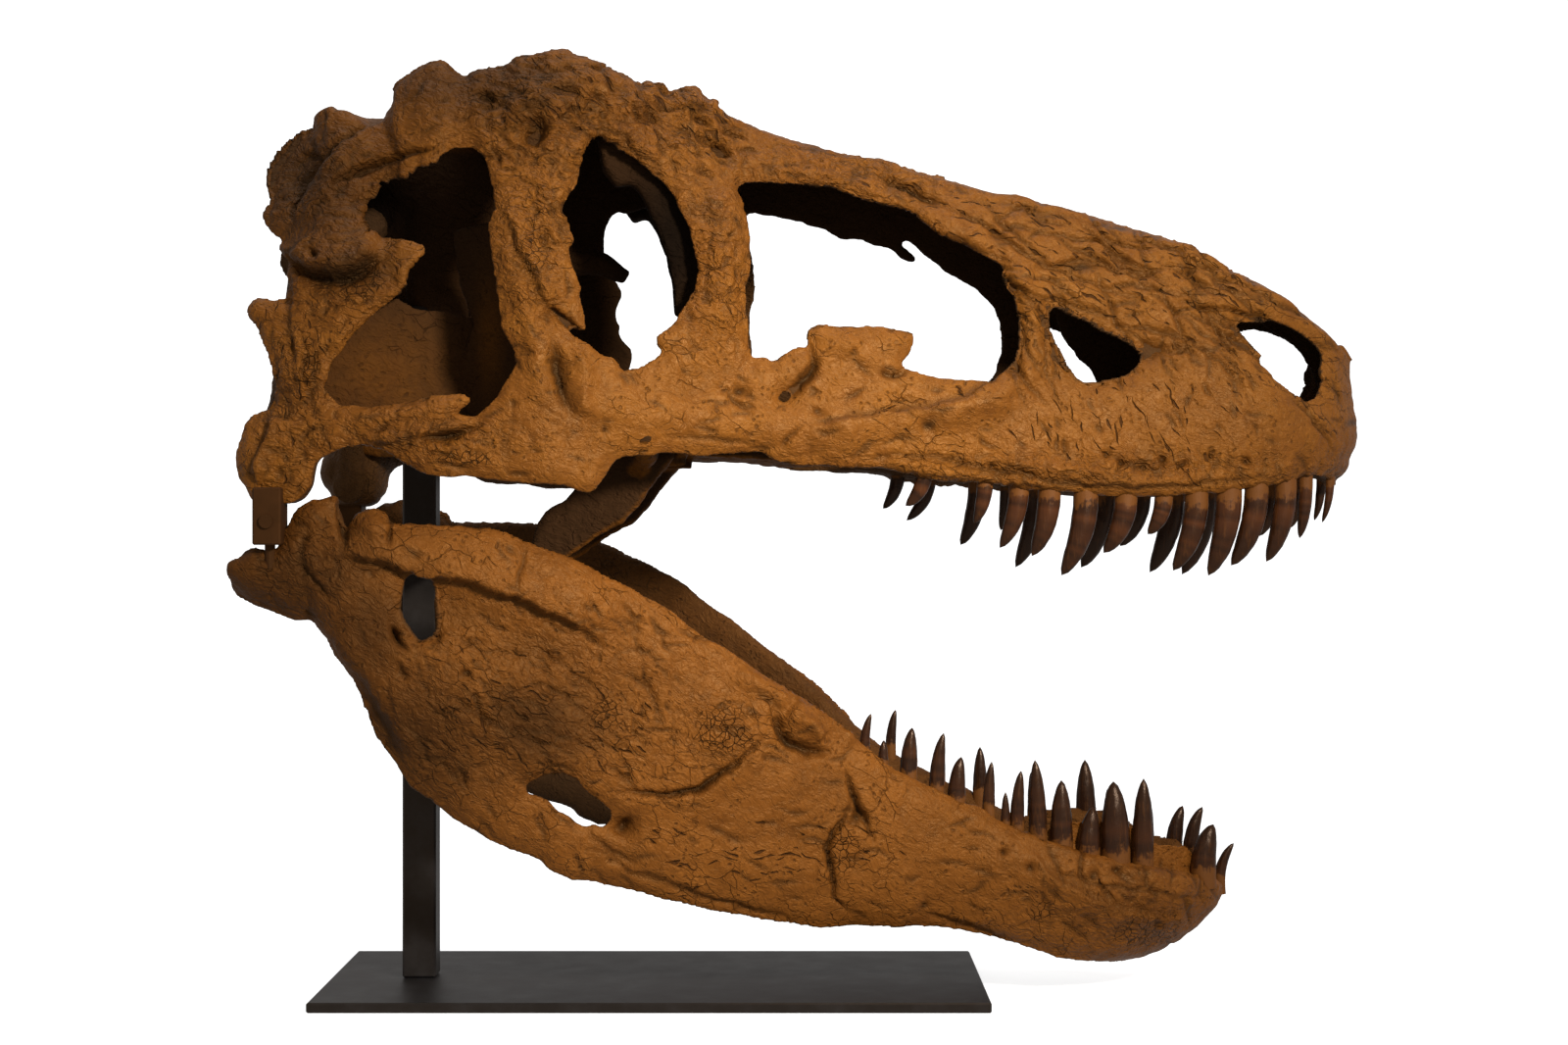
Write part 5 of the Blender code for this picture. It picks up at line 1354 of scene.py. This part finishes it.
def bone_colour(tree, seen, stained, shelter, light, middling):
    """Light, middling and dark ochre, with painted shade in creases, hollows and sheltered faces.
    """
    tone = tree.add("ShaderNodeValToRGB", {"stops": [
        (0.26, BONE_DARK_TONE_AND_CREASE_SHADE), (0.44, middling), (0.64, light)]},
        {"Fac": 0.42 * seen.patches + 0.44 * seen.mottle + 0.14 * seen.grain - 0.03 * stained})
    # Painted shade in small creases and pores, in creases, cracks and webs
    pitted = tree.blend(0.30 * seen.small_crease + 0.5 * seen.pore, tone, BONE_DARK_TONE_AND_CREASE_SHADE)
    creased = tree.blend(0.6 * seen.crease, pitted, BONE_DARK_TONE_AND_CREASE_SHADE)
    cracked = tree.blend(0.8 * seen.crack, creased, BONE_PAINTED_HOLLOW_SHADE)
    webbed = tree.blend(0.5 * seen.web, cracked, BONE_DARK_TONE_AND_CREASE_SHADE)
    # Painted shade where the lamp's light falls off; the tone above darkens a little there too
    darkened = tree.blend(0.82 * stained, webbed, BONE_SHADED)
    # Painted shade in the slits
    slit_dark = tree.blend(tree.step(seen.slit, 0.1, 0.8) * 0.9, darkened, BONE_DARK_TONE_AND_CREASE_SHADE)
    # Painted shade in grooves, pits, creases and under ledges
    hollow_shaded = tree.blend(tree.attribute("hollow"), slit_dark, BONE_PAINTED_HOLLOW_SHADE)
    # Painted shade on sheltered inner faces
    cavity_shaded = tree.blend(shelter, hollow_shaded, BONE_PAINTED_CAVITY_SHADE)
    # Near-black painted shade on the most deeply buried inner bones
    return tree.blend(tree.attribute("buried"), cavity_shaded, BONE_PAINTED_DEEP_SHADE)


def bone_height(tree, seen):
    return (0.35 * tree.step(seen.small_fold, 0.0, 0.2) + 1.2 * seen.lumps + 0.2 * seen.grain
            + tree.step(seen.fold, 0.0, 0.14) * (0.2 + 1.4 * seen.crumpled)
            + 0.7 * seen.mottle - 0.8 * seen.pore - 1.2 * seen.crack - 0.8 * seen.web
            - 2.2 * seen.slit)


def bone_material(name, tilt, slit_threshold, light, middling, gloss):
    """Ochre-brown bone: lumps, slits along the grain with painted shade in them, pores, and a waxy
    glint.
    """
    material, tree, shader = new_material(name)
    seen = bone_patterns(tree, tilt, slit_threshold)
    stained = tree.attribute("stained")
    shelter = tree.attribute("shelter")
    colour = bone_colour(tree, seen, stained, shelter, light, middling)
    roughness = 0.28 + 0.36 * seen.mottle + 0.2 * seen.slit + 0.3 * shelter + 0.15 * stained
    dress(tree, shader, colour, roughness, (1.0, BONE_BUMP, bone_height(tree, seen)), gloss,
          BONE_SHEEN)
    return material


def tooth_material():
    """Dark brown enamel with faint streaks and an ochre collar at the neck."""
    material, tree, shader = new_material("tooth enamel")
    place_in = tree.add("ShaderNodeTexCoord", output="Object")
    past_collar = tree.attribute("crown")
    streaky = tree.add("ShaderNodeMapping", {}, {"Vector": place_in, "Scale": (1.0, 1.0, 0.12)})
    streaks = tree.noise(streaky, 420.0, 4.0, 0.6)
    blotches = tree.noise(place_in, 90.0, 4.0, 0.6)
    neck = 1.0 - tree.step(past_collar + 0.5 * blotches + 0.25 * streaks, 0.37, 0.47)
    body = tree.blend(tree.attribute("tone"), TOOTH_DARK, TOOTH_BODY)
    towards_tip = tree.blend(tree.step(past_collar, 0.3, 0.9), body, TOOTH_TIP_COLOUR)
    streaked = tree.blend(0.25 * tree.step(streaks, 0.5, 0.75), towards_tip, TOOTH_NECK)
    colour = tree.blend(0.9 * neck, streaked, TOOTH_NECK)
    roughness = 0.22 + 0.30 * neck + 0.14 * blotches
    dress(tree, shader, colour, roughness, (0.5, 0.0008, streaks + blotches), TOOTH_GLOSS,
          TOOTH_SHEEN)
    return material


def paint_material(name, colour, roughness, speck):
    """Brushed-on paint over steel: slightly uneven, with an orange-peel surface."""
    material, tree, shader = new_material(name)
    place_in = tree.add("ShaderNodeTexCoord", output="Object")
    cloud = tree.noise(place_in, 30.0, 5.0, 0.6)
    peel = tree.noise(place_in, 900.0, 3.0, 0.5)
    lighter = tuple(min(1.0, channel * speck) for channel in colour)
    tone = tree.blend(tree.step(cloud, 0.35, 0.75), colour, lighter)
    dress(tree, shader, tone, roughness + 0.2 * cloud, (0.25, 0.0003, peel), PAINT_GLOSS,
          BONE_SHEEN)
    return material


def backdrop_material():
    material, tree, shader = new_material("pale paper")
    place_in = tree.add("ShaderNodeTexCoord", output="Object")
    cloud = tree.noise(place_in, 3.0, 3.0, 0.5)
    darker = tuple(0.985 * channel for channel in PAPER_WHITE)
    tree.feed(shader.inputs["Base Color"], tree.blend(cloud, darker, PAPER_WHITE))
    shader.inputs["Roughness"].default_value = 0.95
    shader.inputs["Specular IOR Level"].default_value = 0.1
    shader.inputs["Emission Color"].default_value = (1.0, 1.0, 1.0, 1.0)
    shader.inputs["Emission Strength"].default_value = PAPER_GLOW
    return material


# Bones

def roof_strip_edge():
    """The sheet's far edge, which comes to lie on the plane of symmetry."""
    edge = []
    for (a, _), (u, v) in zip(unrolled(TOP_LINE, SNOUT_TURN, SNOUT_ARC, SNOUT_FRONT), TOP_LINE):
        _, narrowing = turned(np.float64(a), v, SNOUT_TURN, SNOUT_ARC, SNOUT_FRONT)
        edge.append((a, v - ROOF_REACH * float(roof_span(u, narrowing))))
    return edge


def roof_window():
    points = []
    for i in range(ROOF_WINDOW_SIDES):
        angle = -2 * math.pi * i / ROOF_WINDOW_SIDES
        u = ROOF_WINDOW_CENTRE[0] + ROOF_WINDOW_RADII[0] * math.cos(angle)
        share = ROOF_WINDOW_CENTRE[1] + ROOF_WINDOW_RADII[1] * math.sin(angle)
        points.append((u, float(along(TOP_LINE, u) - share * roof_span(u, 1.0))))
    return points


def cheek_depth(points):
    """Inward thickness: thick along the tooth row and at the jaw hinge."""
    u, v = points[:, 0], points[:, 1]
    foot = along(CHEEK_FOOT, u)
    depth = 8.0 + 18.0 * smooth(foot - 70.0, foot - 30.0, v) * smooth(*TOOTH_ROW_START, u)
    depth += 6.0 * smooth(foot - 90.0, foot - 30.0, v) * (1.0 - smooth(*CHEEKBONE_END, u))
    depth += 30.0 * smooth(*HINGE_TOP, v) * (1.0 - smooth(*HINGE_END, u))
    return depth


def right_cheek():
    """Cheek, snout side and half of the roof, in one wrapped sheet."""
    def unroll(points):
        return unrolled(points, SNOUT_TURN, SNOUT_ARC, SNOUT_FRONT)

    front = [(SNOUT_TURN + SNOUT_ARC, v) for v, _ in SNOUT_FRONT]
    lower = unroll(LOWER_EDGE)
    outline = roof_strip_edge() + front + lower[1:]
    holes = [unroll(window) for window in CHEEK_WINDOWS + [CHEEK_SLIT]] + [roof_window()]
    rims = [lower] + [closed(hole) for hole in holes]
    return wrapped_sheet("cheek", [outline] + holes, rims, cranium_surface,
                         even(OUTER_THICKNESS), cheek_depth, BONE_ROUNDING)


def flat_plate(name, outline, depth_line, half_thickness):
    """A plate whose depth changes only along the sheet, given by a line of (u, depth)."""
    def surface(u, v):
        return np.stack(place(u, v, along(depth_line, u)), axis=-1)

    return wrapped_sheet(name, [outline], [closed(outline)], surface, even(half_thickness),
                         even(half_thickness))


def plates(named):
    return [flat_plate(name, *plate) for name, plate in named.items()]


def bars(named):
    """Bars of bone, each along its own stations."""
    return [tube(name, [place(u, v, y) for u, v, y, _ in stations],
                 [radius for *_, radius in stations]) for name, stations in named.items()]


def palate_half():
    """Shelf between the right tooth row and the midline, seen from below."""
    outline = [(u, -y) for u, y in PALATE_EDGE] + [(PALATE_EDGE[-1][0], 6), (PALATE_EDGE[0][0], 6)]

    def surface(a, w):
        x = VIEW_X + (a - SHEET_MIDDLE) * INNER_SCALE * SHEET_MM
        z = EYE_HEIGHT + (SHEET_EYE - along(PALATE_LINE, a)) * INNER_SCALE * SHEET_MM
        return np.stack([x, w * SHEET_MM, z - PALATE_VAULT * (w / 100.0) ** 2], axis=-1)

    return wrapped_sheet("palate", [outline, PALATE_HOLE], [closed(PALATE_HOLE)], surface,
                         even(PALATE_HALF_THICKNESS), even(PALATE_HALF_THICKNESS))


def occiput_half():
    """Back wall of the braincase, from the midline to the cheek."""
    def surface(w, v):
        return np.stack([OCCIPUT_X + OCCIPUT_SLANT * np.abs(w) * SHEET_MM, w * SHEET_MM,
                         EYE_HEIGHT + (SHEET_EYE - v) * INNER_SCALE * SHEET_MM], axis=-1)

    return wrapped_sheet("occiput", [OCCIPUT], [closed(OCCIPUT)], surface,
                         even(OCCIPUT_HALF_THICKNESS), even(OCCIPUT_HALF_THICKNESS))


def bone_roughness(points, crumpled):
    """Lumps and creases of old bone, in millimetres, and the painted shade that darkens the
    creases.
    """
    lumps = 1.1 * rough_noise(points, LUMP_SIZE, 3, 11)
    creases = wrinkle_noise(points, CREASE_SIZE, 3, 23)
    dark = smooth(0.0, -0.9, creases) * (0.12 + 0.45 * crumpled)
    return lumps + (0.35 + 0.75 * crumpled) * creases, dark


def drawn_marks(sheet, wear):
    """The strokes of a bone, drawn on sheet points; deeper grooves and pits get darker painted
    shade.
    """
    marks = Marks(sheet)
    for line, width, depth in wear["grooves"]:
        marks.groove(line, width, depth, min(1.0, 0.35 + 0.07 * depth))
    for line, width, rise in wear["ridges"]:
        marks.ridge(line, width, rise)
    for line, reach, rise in wear["ledges"]:
        marks.ledge(line, reach, rise)
    for centre, radii, rise in wear["bosses"]:
        marks.spot(centre, radii, rise, max(0.0, -0.045 * rise))
    for centre, radii, rise in wear["pits"]:
        marks.spot(centre, radii, rise, 0.9)
    for seed, area in enumerate(wear["furrows"], start=wear["first_seed"]):
        marks.furrows(wear["grain"], *area, seed)
    return marks


def worn_bone(points, normals, sheet, outer, wear):
    """Roughness and stroke height of a bone in millimetres, and values for its finish with painted
    shade.

    outer is 1 where the points lie on the outer side, which alone carries the strokes.
    """
    marks = drawn_marks(sheet, wear)
    crumpled = wear["crumpling"] * spots_mask(sheet, wear["crumpled"])
    rough, creases = bone_roughness(points, crumpled)
    ahead, aside = grain_ways(wear["grain"], sheet, normals)
    return rough, marks.height * outer, {
        "hollow": np.maximum(marks.dark * outer, creases),
        "cracked": spots_mask(sheet, wear["cracked"]) * outer,
        "stained": spots_mask(sheet, wear["stained"]),
        "slashed": spots_mask(sheet, wear["slashed"]), "crumpled": crumpled,
        "grain_ahead": ahead, "grain_aside": aside}


def cheek_relief(points, normals):
    """Relief of the cheeks, snout and roof, and what their finish needs to know."""
    sheet = sheet_of(points)
    unrolled_u = unturned(sheet[:, 0], sheet[:, 1], SNOUT_TURN, SNOUT_ARC, SNOUT_FRONT)
    shell = cranium_surface(unrolled_u, sheet[:, 1])
    depth_below = np.abs(shell[:, 1]) - np.abs(points[:, 1])
    outward = normals[:, 1] * np.sign(points[:, 1])
    outer = smooth(-0.1, 0.25, outward) * (1.0 - smooth(0.012, 0.022, depth_below))
    edge = np.interp(sheet[:, 0], WIDTH_AT, UPPER_HALF_WIDTH) * SHEET_MM
    towards_edge = np.clip(np.abs(points[:, 1]) / edge, 0.0, 1.0) ** 2
    top = along(MID_LINE, sheet[:, 0]) * (1.0 - towards_edge) + along(
        TOP_LINE, sheet[:, 0]) * towards_edge
    roof = smooth(0.1, 0.4, normals[:, 2]) * (1.0 - smooth(20.0, 30.0, sheet[:, 1] - top))
    shown = np.maximum(outer, roof)
    rough, strokes, kept = worn_bone(points, normals, sheet, outer, CHEEK_WEAR)
    # Painted shade: inner faces, and all that is seen through the windows, darken towards the
    # cavity colour
    behind_window = np.zeros(len(points), bool)
    for window in CHEEK_WINDOWS:
        behind_window |= inside(sheet, window) & (depth_below > 0.004)
    kept["shelter"] = np.where(behind_window, 1.0, 0.86 * (1.0 - shown))
    return rough * (0.5 + 0.5 * shown) + strokes, kept


def core_relief(points, normals):
    """Relief of the inner bones, which are in the open at the nape, the hinge and the palate."""
    sheet = sheet_of(points)
    crumpled = np.full(len(points), 0.2)
    rough, creases = bone_roughness(points, crumpled)
    # Painted shade covers the inner bones, except where they face the open behind the nape, above
    # the roof and below the palate
    behind = smooth(0.2, 0.6, -normals[:, 0]) * smooth(*NAPE_BACK, -points[:, 0])
    below = smooth(0.3, 0.7, -normals[:, 2]) * (1.0 - smooth(*PALATE_HEIGHT, points[:, 2]))
    # Painted light: the painted shade lifts where light falls on the wing's outer side
    lit_wing = smooth(0.2, 0.6, normals[:, 1] * np.sign(points[:, 1])) * spots_mask(
        sheet, WING_PAINTED_LIGHT_SPOTS)
    above = smooth(0.1, 0.5, normals[:, 2]) * smooth(*ROOF_HEIGHT, points[:, 2])
    open_air = np.maximum.reduce([behind, above, 0.7 * below, 0.42 * lit_wing])
    ahead, aside = grain_ways(CHEEK_GRAIN, sheet, normals)
    # Near-black painted shade where the inner bones lie deepest
    return 0.8 * rough, {
        "hollow": creases, "shelter": 1.0 - open_air, "crumpled": crumpled,
        "buried": spots_mask(sheet, PAINTED_DEEP_SHADE_SPOTS) * (1.0 - above) * (1.0 - behind),
        "grain_ahead": ahead, "grain_aside": aside}


def skull_pieces(material, inner_material):
    """The cranium: two outer sides that meet on the midline, and the core between them."""
    shell = joined("shell", [], [right_cheek()] + bars(HINGE_BARS))
    grown_together(shell, SIDE_VOXEL, 1)
    carve(shell, cheek_relief)
    for side_name, normal in (("right", (0.0, 1.0, 0.0)), ("left", (0.0, -1.0, 0.0))):
        side = half_of(shell, "side", (0.0, 0.0, 0.0), normal)
        names = [f"skull_{part}_{side_name}" for part in ("temple", "cheek", "snout")]
        for piece in cut_across(side, names, SKULL_CUTS):
            finished(piece, material, "bone", "cranium")
    bpy.data.objects.remove(shell)
    braincase = ellipsoid("braincase", place(*BRAINCASE_AT), BRAINCASE_RADII)
    single = [braincase] + bars(MIDLINE_BARS) + plates(FAR_PLATES)
    paired = [palate_half(), occiput_half()] + bars(SIDE_BARS) + plates(SIDE_PLATES)
    core = joined("skull_core", single, paired)
    grown_together(core, CORE_VOXEL, 2)
    carve(core, core_relief)
    finished(core, inner_material, "bone", "cranium")


def jaw_depth(points):
    """Inward thickness: thick along the tooth row and at the jaw hinge."""
    u, v = points[:, 0], points[:, 1]
    top = along(JAW_TOP, u)
    upper = 1.0 - smooth(top + 30.0, top + 80.0, v)
    depth = 13.0 + 14.0 * upper * smooth(*JAW_TEETH_START, u)
    depth += 22.0 * (1.0 - smooth(*JAW_HINGE_END, u)) * (1.0 - smooth(*JAW_HINGE_FOOT, v))
    return depth


def jaw_relief(points, normals):
    """Relief of the lower jaw, and what its finish needs to know."""
    sheet = sheet_of(points)
    outer = smooth(-0.1, 0.25, -normals[:, 1])
    rough, strokes, kept = worn_bone(points, normals, sheet, outer, JAW_WEAR)
    # Painted shade on the jaw's inner faces, deepest where the far jaw shows through the near one
    kept["shelter"] = (0.64 + 0.6 * spots_mask(sheet, JAW_PAINTED_SHADE_SPOTS)) * (1.0 - outer)
    return rough * 0.7 + strokes, kept


def right_jaw():
    def unroll(points):
        return unrolled(points, JAW_TURN, JAW_ARC, CHIN_FRONT)

    outline = unroll(JAW_OUTLINE)
    holes = [JAW_WINDOW, JAW_SLOT]
    rims = [closed(outline)] + [closed(hole) for hole in holes]
    plate = wrapped_sheet("jaw plate", [outline] + holes, rims, jaw_surface,
                          even(OUTER_THICKNESS), jaw_depth, BONE_ROUNDING)
    wall_outline = unroll(JAW_WALL)
    wall = wrapped_sheet("jaw wall", [wall_outline], [closed(wall_outline)], jaw_surface,
                         even(-JAW_WALL_SETBACK), even(JAW_WALL_DEPTH))
    jaw = joined("jaw", [plate, wall])
    grown_together(jaw, JAW_VOXEL, 1)
    return carve(jaw, jaw_relief)


def jaw_pieces(material):
    """The two lower jaws, which meet at the chin with a hair's breadth between them."""
    jaw = right_jaw()
    right = half_of(jaw, "right", (0.0, -JAW_GAP, 0.0), (0.0, 1.0, 0.0))
    both = joined("both", [], [jaw])
    left = half_of(both, "left", (0.0, JAW_GAP, 0.0), (0.0, -1.0, 0.0))
    bpy.data.objects.remove(both)
    points = coordinates(left.data)
    points[:, 2] += along(LEFT_JAW_RISE, points[:, 0])
    left.data.vertices.foreach_set("co", points.ravel())
    for jaw, side_name in ((right, "right"), (left, "left")):
        names = [f"jaw_{part}_{side_name}" for part in ("back", "front")]
        for piece in cut_across(jaw, names, JAW_CUTS):
            finished(piece, material, "bone", "mandible_" + side_name)


# Teeth

TOOTH_INPUTS = {
    "Vector": ["Root", "Knee", "Tip"],
    "Float": ["Width", "Flatness", "Taper", "Bluntness", "Neck Share", "Collar", "Paleness"],
    "Int": ["Rings", "Sides", "Seed"],
    "Material": ["Material"],
}


def tooth_tree():
    """Geometry nodes that sweep a flattened round along a bent, tapering line."""
    group = bpy.data.node_groups.new("tooth", "GeometryNodeTree")
    for kind, names in TOOTH_INPUTS.items():
        for name in names:
            group.interface.new_socket(name, in_out="INPUT", socket_type="NodeSocket" + kind)
    group.interface.new_socket("Geometry", in_out="OUTPUT", socket_type="NodeSocketGeometry")
    tree = Tree(group)
    entry = group.nodes.new("NodeGroupInput")

    def given(name):
        return Wire(tree, entry.outputs[name])

    axis = tree.add("GeometryNodeCurveQuadraticBezier", {}, {
        "Resolution": given("Rings"), "Start": given("Root"), "Middle": given("Knee"),
        "End": given("Tip")})
    share = tree.add("GeometryNodeSplineParameter", {}, {}, "Factor")
    girth = (1.0 - 0.999 * share ** given("Taper")) ** given("Bluntness")
    radius = given("Width") * 0.5 * girth
    sized = tree.add("GeometryNodeSetCurveRadius", {}, {"Curve": axis, "Radius": radius})
    crown = (share - given("Neck Share")) / (1.0 - given("Neck Share"))
    kept = tree.add("GeometryNodeStoreNamedAttribute", {"data_type": "FLOAT", "domain": "POINT"},
                    {"Geometry": sized, "Name": "crown", "Value": crown - given("Collar")})
    tone = tree.add("FunctionNodeRandomValue", {"data_type": "FLOAT"},
                    {"ID": 0, "Seed": given("Seed")}, "Value")
    kept = tree.add("GeometryNodeStoreNamedAttribute", {"data_type": "FLOAT", "domain": "POINT"},
                    {"Geometry": kept, "Name": "tone", "Value": tone * given("Paleness")})
    profile = tree.add("GeometryNodeCurvePrimitiveCircle", {}, {
        "Resolution": given("Sides"), "Radius": 1.0})
    swept = tree.add("GeometryNodeCurveToMesh", {}, {
        "Curve": kept, "Profile Curve": profile, "Scale": radius, "Fill Caps": True})
    position = tree.add("GeometryNodeInputPosition")
    across = tree.add("ShaderNodeSeparateXYZ", {}, {0: position}, "Y")
    middle = tree.add("ShaderNodeSeparateXYZ", {}, {0: given("Root")}, "Y")
    squeeze = (across - middle) * (given("Flatness") - 1.0)
    lumpy = tree.add("ShaderNodeTexNoise", {"noise_dimensions": "4D"},
                     {"Vector": position, "W": given("Seed"), "Scale": 110.0, "Detail": 2.0})
    normal = tree.add("GeometryNodeInputNormal")
    push = tree.add("ShaderNodeVectorMath", {"operation": "SCALE"},
                    {0: normal, "Scale": (lumpy - 0.5) * (given("Width") * 0.08)})
    flat = tree.add("ShaderNodeCombineXYZ", {}, {"Y": squeeze})
    offset = tree.add("ShaderNodeVectorMath", {"operation": "ADD"}, {0: flat, 1: push})
    moved = tree.add("GeometryNodeSetPosition", {}, {"Geometry": swept, "Offset": offset})
    soft = tree.add("GeometryNodeSetShadeSmooth", {}, {"Geometry": moved, "Shade Smooth": True})
    real = tree.add("GeometryNodeRealizeInstances", {}, {"Geometry": soft})
    painted = tree.add("GeometryNodeSetMaterial", {}, {"Geometry": real,
                                                       "Material": given("Material")})
    leave = group.nodes.new("NodeGroupOutput")
    tree.feed(leave.inputs[0], painted)
    return group


def tree_object(name, group, values):
    """A plain mesh object of what a geometry tree makes from the given values."""
    obj = new_object(name, bpy.data.meshes.new(name))
    modifier = obj.modifiers.new("tree", "NODES")
    modifier.node_group = group
    for item in group.interface.items_tree:
        if item.in_out == "INPUT":
            modifier[item.identifier] = values[item.name]
    return apply_modifiers(obj)


def tooth_row(row_name, piece_name, row, shape, paleness, group, material):
    """A row of teeth, each standing where its CAD node stands."""
    teeth = []
    nodes = []
    for number, (u, v, width, tip_u, tip_v) in enumerate(row, start=1):
        node = f"{row_name}_{number:02d}"
        low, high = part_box(node)
        neck_depth = (low[1] + high[1]) / 2
        neck = Vector(place(u, v, neck_depth))
        tip = Vector(place(tip_u, tip_v, neck_depth))
        up = math.copysign(1.0, neck.z - tip.z)
        root = neck + Vector((0.0, 0.0, up * ROOT_LENGTH))
        knee = neck + Vector((-0.25 * (tip.x - neck.x), 0.0, 0.45 * (tip.z - neck.z)))
        scale = (VIEW_DISTANCE + neck_depth) / VIEW_DISTANCE
        teeth.append(tree_object(node + "_shape", group, {
            "Root": root, "Knee": knee, "Tip": tip, "Width": width * SHEET_MM * scale,
            "Flatness": TOOTH_FLATNESS, **shape, "Paleness": paleness,
            "Neck Share": ROOT_LENGTH / (ROOT_LENGTH + (tip - neck).length),
            "Rings": TOOTH_RINGS, "Sides": TOOTH_SIDES, "Seed": number,
            "Material": material}))
        nodes.append(node)
    piece = joined(piece_name, teeth)
    return finished(piece, material, "tooth", *nodes)


def tooth_pieces(material):
    group = tooth_tree()
    jaws = (("upper", (UPPER_RIGHT_TEETH, UPPER_LEFT_TEETH), UPPER_TOOTH_SHAPE, UPPER_PALENESS),
            ("lower", (LOWER_RIGHT_TEETH, LOWER_LEFT_TEETH), LOWER_TOOTH_SHAPE, LOWER_PALENESS))
    for jaw_name, rows, shape, palenesses in jaws:
        for side_name, row, paleness in zip(("right", "left"), rows, palenesses):
            tooth_row(f"{jaw_name}_tooth_{side_name}", f"{jaw_name}_teeth_{side_name}", row,
                      shape, paleness, group, material)


# Stand

def paint_stand():
    """The stand's own solids, with paint on them."""
    black = paint_material("satin black paint", STEEL_BLACK, 0.36, 1.8)
    brown = paint_material("brown paint", BRACKET_BROWN, 0.6, 1.5)
    painted = {"base_plate": black, "post": black, "saddle": black, "jaw_crossbar": black,
               "bracket_right": brown, "bracket_left": brown}
    for name, paint in painted.items():
        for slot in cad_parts[name].material_slots:
            slot.material = paint


# Studio

def make_backdrop():
    """A sheet of pale paper that runs over the floor and curves up behind the skull.

    The paper throws no light back onto the skull, which keeps its hollows dark.
    """
    turn = [0.5 * math.pi * i / BACKDROP_STEPS for i in range(BACKDROP_STEPS + 1)]
    profile = [(-BACKDROP_REACH, 0.0)]
    profile += [(BACKDROP_Y - BACKDROP_BEND + BACKDROP_BEND * math.sin(angle),
                 BACKDROP_BEND - BACKDROP_BEND * math.cos(angle)) for angle in turn]
    profile.append((BACKDROP_Y, BACKDROP_HEIGHT))
    mesh = bpy.data.meshes.new("backdrop")
    with editing(mesh) as bm:
        left, right = [[bm.verts.new((x, y, z)) for y, z in profile]
                       for x in (VIEW_X - BACKDROP_REACH, VIEW_X + BACKDROP_REACH)]
        for i in range(len(profile) - 1):
            bm.faces.new((left[i], right[i], right[i + 1], left[i + 1]))
    mesh.materials.append(backdrop_material())
    mesh.polygons.foreach_set("use_smooth", [True] * len(mesh.polygons))
    backdrop = bpy.data.objects.new("backdrop", mesh)
    backdrop.visible_diffuse = False
    backdrop.visible_glossy = False
    bpy.context.scene.collection.objects.link(backdrop)


def area_light(name, place_at, target, size, power, colour=(1.0, 1.0, 1.0), spread=math.pi):
    light = bpy.data.lights.new(name, "AREA")
    light.shape = "DISK"
    light.size = size
    light.energy = power
    light.color = colour
    light.spread = spread
    obj = bpy.data.objects.new(name, light)
    obj.location = place_at
    direction = Vector(target) - Vector(place_at)
    obj.rotation_euler = direction.to_track_quat("-Z", "Y").to_euler()
    bpy.context.scene.collection.objects.link(obj)


def make_studio():
    """Pale paper, soft lights above and the camera of the photograph."""
    make_backdrop()
    world = bpy.data.worlds.new("studio")
    world.use_nodes = True
    background = world.node_tree.nodes["Background"]
    background.inputs["Color"].default_value = (1.0, 1.0, 1.0, 1.0)
    background.inputs["Strength"].default_value = WORLD_LIGHT
    bpy.context.scene.world = world
    bpy.context.scene.view_settings.view_transform = "Standard"
    area_light("key", KEY_PLACE, KEY_TARGET, KEY_SIZE, KEY_POWER, KEY_COLOUR, KEY_SPREAD)
    area_light("top", TOP_PLACE, KEY_TARGET, TOP_SIZE, TOP_POWER)
    area_light("paper light", PAPER_LIGHT_PLACE, PAPER_LIGHT_TARGET, PAPER_LIGHT_SIZE,
               PAPER_POWER)
    camera = bpy.data.cameras.new("camera")
    camera.lens = CAMERA_LENS
    obj = bpy.data.objects.new("camera", camera)
    obj.location = (VIEW_X, -VIEW_DISTANCE, EYE_HEIGHT)
    obj.rotation_euler = (math.pi / 2, 0.0, 0.0)
    bpy.context.scene.collection.objects.link(obj)
    bpy.context.scene.camera = obj


make_studio()
skull_pieces(bone_material("skull bone", *SKULL_BONE), bone_material("inner bone", *INNER_BONE))
jaw_pieces(bone_material("jaw bone", *JAW_BONE))
tooth_pieces(tooth_material())
paint_stand()
